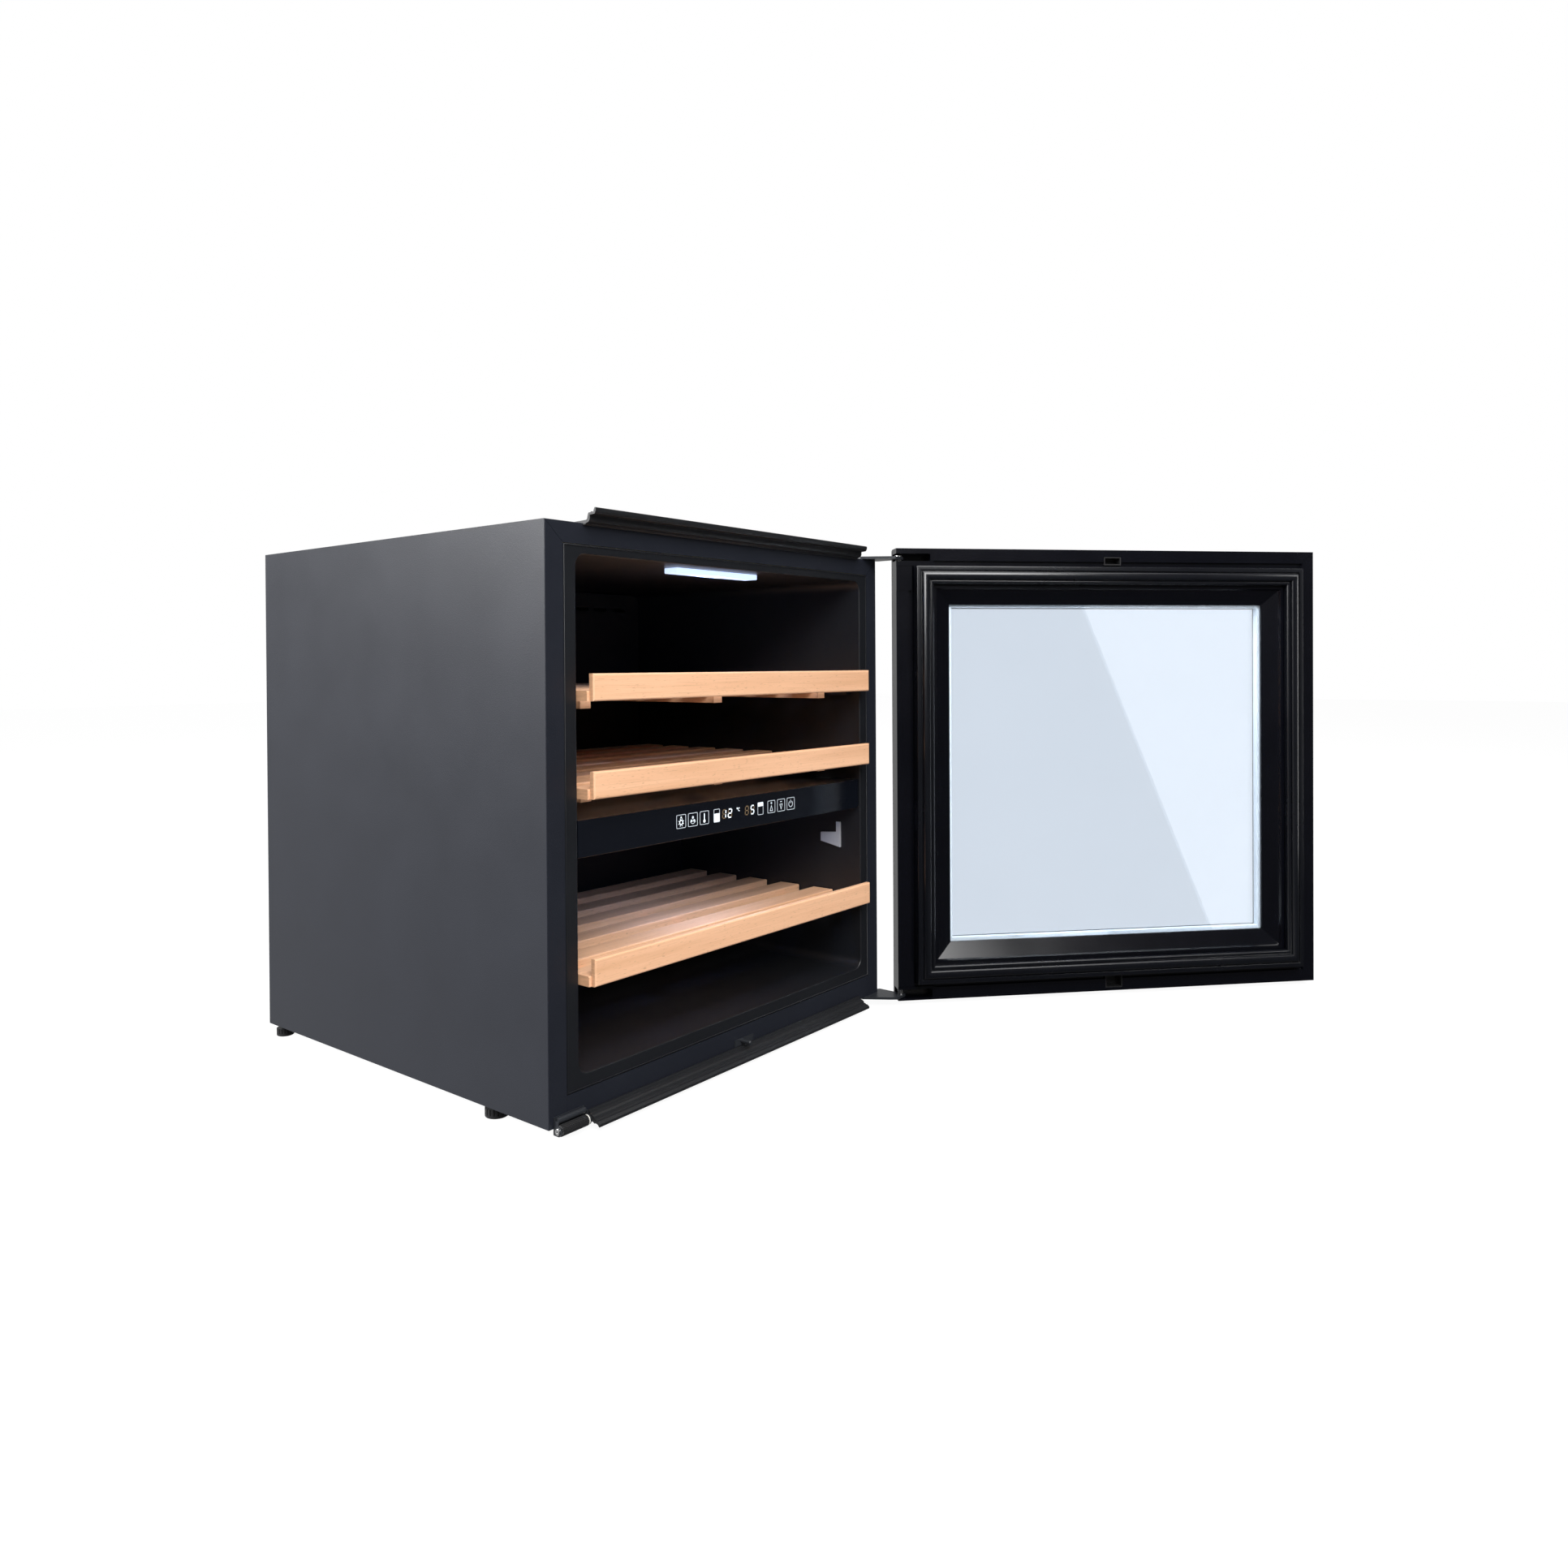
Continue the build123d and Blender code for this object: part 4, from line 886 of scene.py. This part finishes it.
CAMERA_PLACE = (-0.9511, -0.8101, 0.4461)
CAMERA_YAW = math.radians(38.13)
CAMERA_PITCH = math.radians(-0.480)
CAMERA_ROLL = math.radians(-0.332)
LENS = 25.45
SENSOR_WIDTH = 36.0
LENS_SHIFT_UP = -0.0692
LED_PLACES = ((0.0, 0.04, 0.544), (0.0, 0.04, 0.256))

# where the slanting edge of the mirrored box crosses the closed door's glass, in millimetres
GLASS_EDGE_TOP = (30.0, -43.0, 520.0)
GLASS_EDGE_LOW = (-154.0, -43.0, 78.0)
GLASS_BOX_AWAY = 2.6
GLASS_BOX_WIDTH = 1.9
GLASS_BOX_LENGTH = 5.0
GLASS_BOX_POWER = 50.0


def softbox(name, place, aim, width, height, power):
    """A rectangular soft light that the camera doesn't see."""
    data = bpy.data.lights.new(name, "AREA")
    data.shape = "RECTANGLE"
    data.size = width
    data.size_y = height
    data.energy = power
    lamp = bpy.data.objects.new(name, data)
    bpy.context.scene.collection.objects.link(lamp)
    direction = Vector(aim) - Vector(place)
    turn = direction.to_track_quat("-Z", "Y").to_matrix().to_4x4()
    lamp.matrix_world = Matrix.Translation(place) @ turn
    lamp.visible_camera = False
    return lamp


def lights():
    """Overhead key, front fill, side box, a strip for the door's edges, the glass's box and the lit bars."""
    softbox("overhead", (0.0, -0.6, 3.2), aim=(0.1, 0.1, 0.3), width=2.6, height=2.6, power=78.0)
    softbox("front_fill", (-1.7, -2.3, 2.5), aim=(0.0, 0.0, 0.3), width=1.8, height=1.8, power=168.0)
    softbox("side_box", (-2.2, 1.25, 1.5), aim=(-0.278, 0.05, 0.5), width=1.1, height=0.8, power=115.0)
    strip = softbox("door_strip", (1.3, -2.4, 0.5), aim=(0.5, -0.25, 0.3), width=0.3, height=1.8, power=16.0)
    only_for(strip, "door_gasket_profile", "door_frame_profiles")
    glass_box()
    led_glow()


def only_for(lamp, *names):
    """The lamp lights only the named pieces."""
    group = bpy.data.collections.new(f"{lamp.name}_receivers")
    for name in names:
        group.objects.link(bpy.data.objects[name])
    lamp.light_linking.receiver_collection = group


def led_glow():
    """Bluish light of the two lit bars inside the cabinet."""
    for place in LED_PLACES:
        data = bpy.data.lights.new("led_glow", "POINT")
        data.color = (0.45, 0.6, 1.0)
        data.energy = 0.5
        data.shadow_soft_size = 0.006
        lamp = bpy.data.objects.new("led_glow", data)
        bpy.context.scene.collection.objects.link(lamp)
        lamp.location = place
        lamp.visible_camera = False
        lamp.visible_glossy = False


def glass_box():
    """The box that the open door's glass mirrors, with its slanting edge across the glass.

    The edge's two ends lie on the lines from the eye, mirrored in the glass, through the two given spots.
    """
    edge_top = DOOR_SWING @ (Vector(GLASS_EDGE_TOP) * MM)
    edge_low = DOOR_SWING @ (Vector(GLASS_EDGE_LOW) * MM)
    facing = (DOOR_SWING.to_3x3() @ Vector((0, 1, 0))).normalized()
    free_side = (DOOR_SWING.to_3x3() @ Vector((-1, 0, 0))).normalized()
    eye_height = (Vector(CAMERA_PLACE) - edge_top).dot(facing)
    eye_foot = Vector(CAMERA_PLACE) - facing * eye_height
    seen = []
    for spot in (edge_top, edge_low):
        beyond = (spot - eye_foot) * GLASS_BOX_AWAY / eye_height
        seen.append(spot + beyond + facing * GLASS_BOX_AWAY)
    along = (seen[0] - seen[1]).normalized()
    across = (free_side - along * free_side.dot(along)).normalized()
    middle = (seen[0] + seen[1]) / 2 + across * GLASS_BOX_WIDTH / 2
    lamp = softbox(
        "glass_box", middle, middle - facing, GLASS_BOX_WIDTH, GLASS_BOX_LENGTH, GLASS_BOX_POWER
    )
    turn = Matrix((across, along, across.cross(along))).transposed().to_4x4()
    lamp.matrix_world = Matrix.Translation(middle) @ turn
    only_for(lamp, "door_outer_glass", "door_inner_glass")


def camera():
    """The main view: three-quarter from the left, almost level, slightly wide."""
    level_ahead = Vector((math.cos(CAMERA_YAW), math.sin(CAMERA_YAW), 0.0))
    ahead = level_ahead * math.cos(CAMERA_PITCH) + Vector((0.0, 0.0, math.sin(CAMERA_PITCH)))
    right = Vector((math.sin(CAMERA_YAW), -math.cos(CAMERA_YAW), 0.0))
    up = right.cross(ahead)
    tilted_right = right * math.cos(CAMERA_ROLL) + up * math.sin(CAMERA_ROLL)
    tilted_up = up * math.cos(CAMERA_ROLL) - right * math.sin(CAMERA_ROLL)
    data = bpy.data.cameras.new("camera")
    data.lens = LENS
    data.sensor_width = SENSOR_WIDTH
    data.shift_y = LENS_SHIFT_UP
    data.clip_start = 0.05
    data.clip_end = 60.0
    viewer = bpy.data.objects.new("camera", data)
    bpy.context.scene.collection.objects.link(viewer)
    turn = Matrix((tilted_right, tilted_up, -ahead)).transposed().to_4x4()
    viewer.matrix_world = Matrix.Translation(CAMERA_PLACE) @ turn
    bpy.context.scene.camera = viewer


finish_cad_nodes()
door_gasket()
glass_print()
trims()
rim_bead()
roller()
screws()
panel_symbols()
floor()
world()
lights()
camera()
bpy.context.scene.view_settings.view_transform = "Standard"
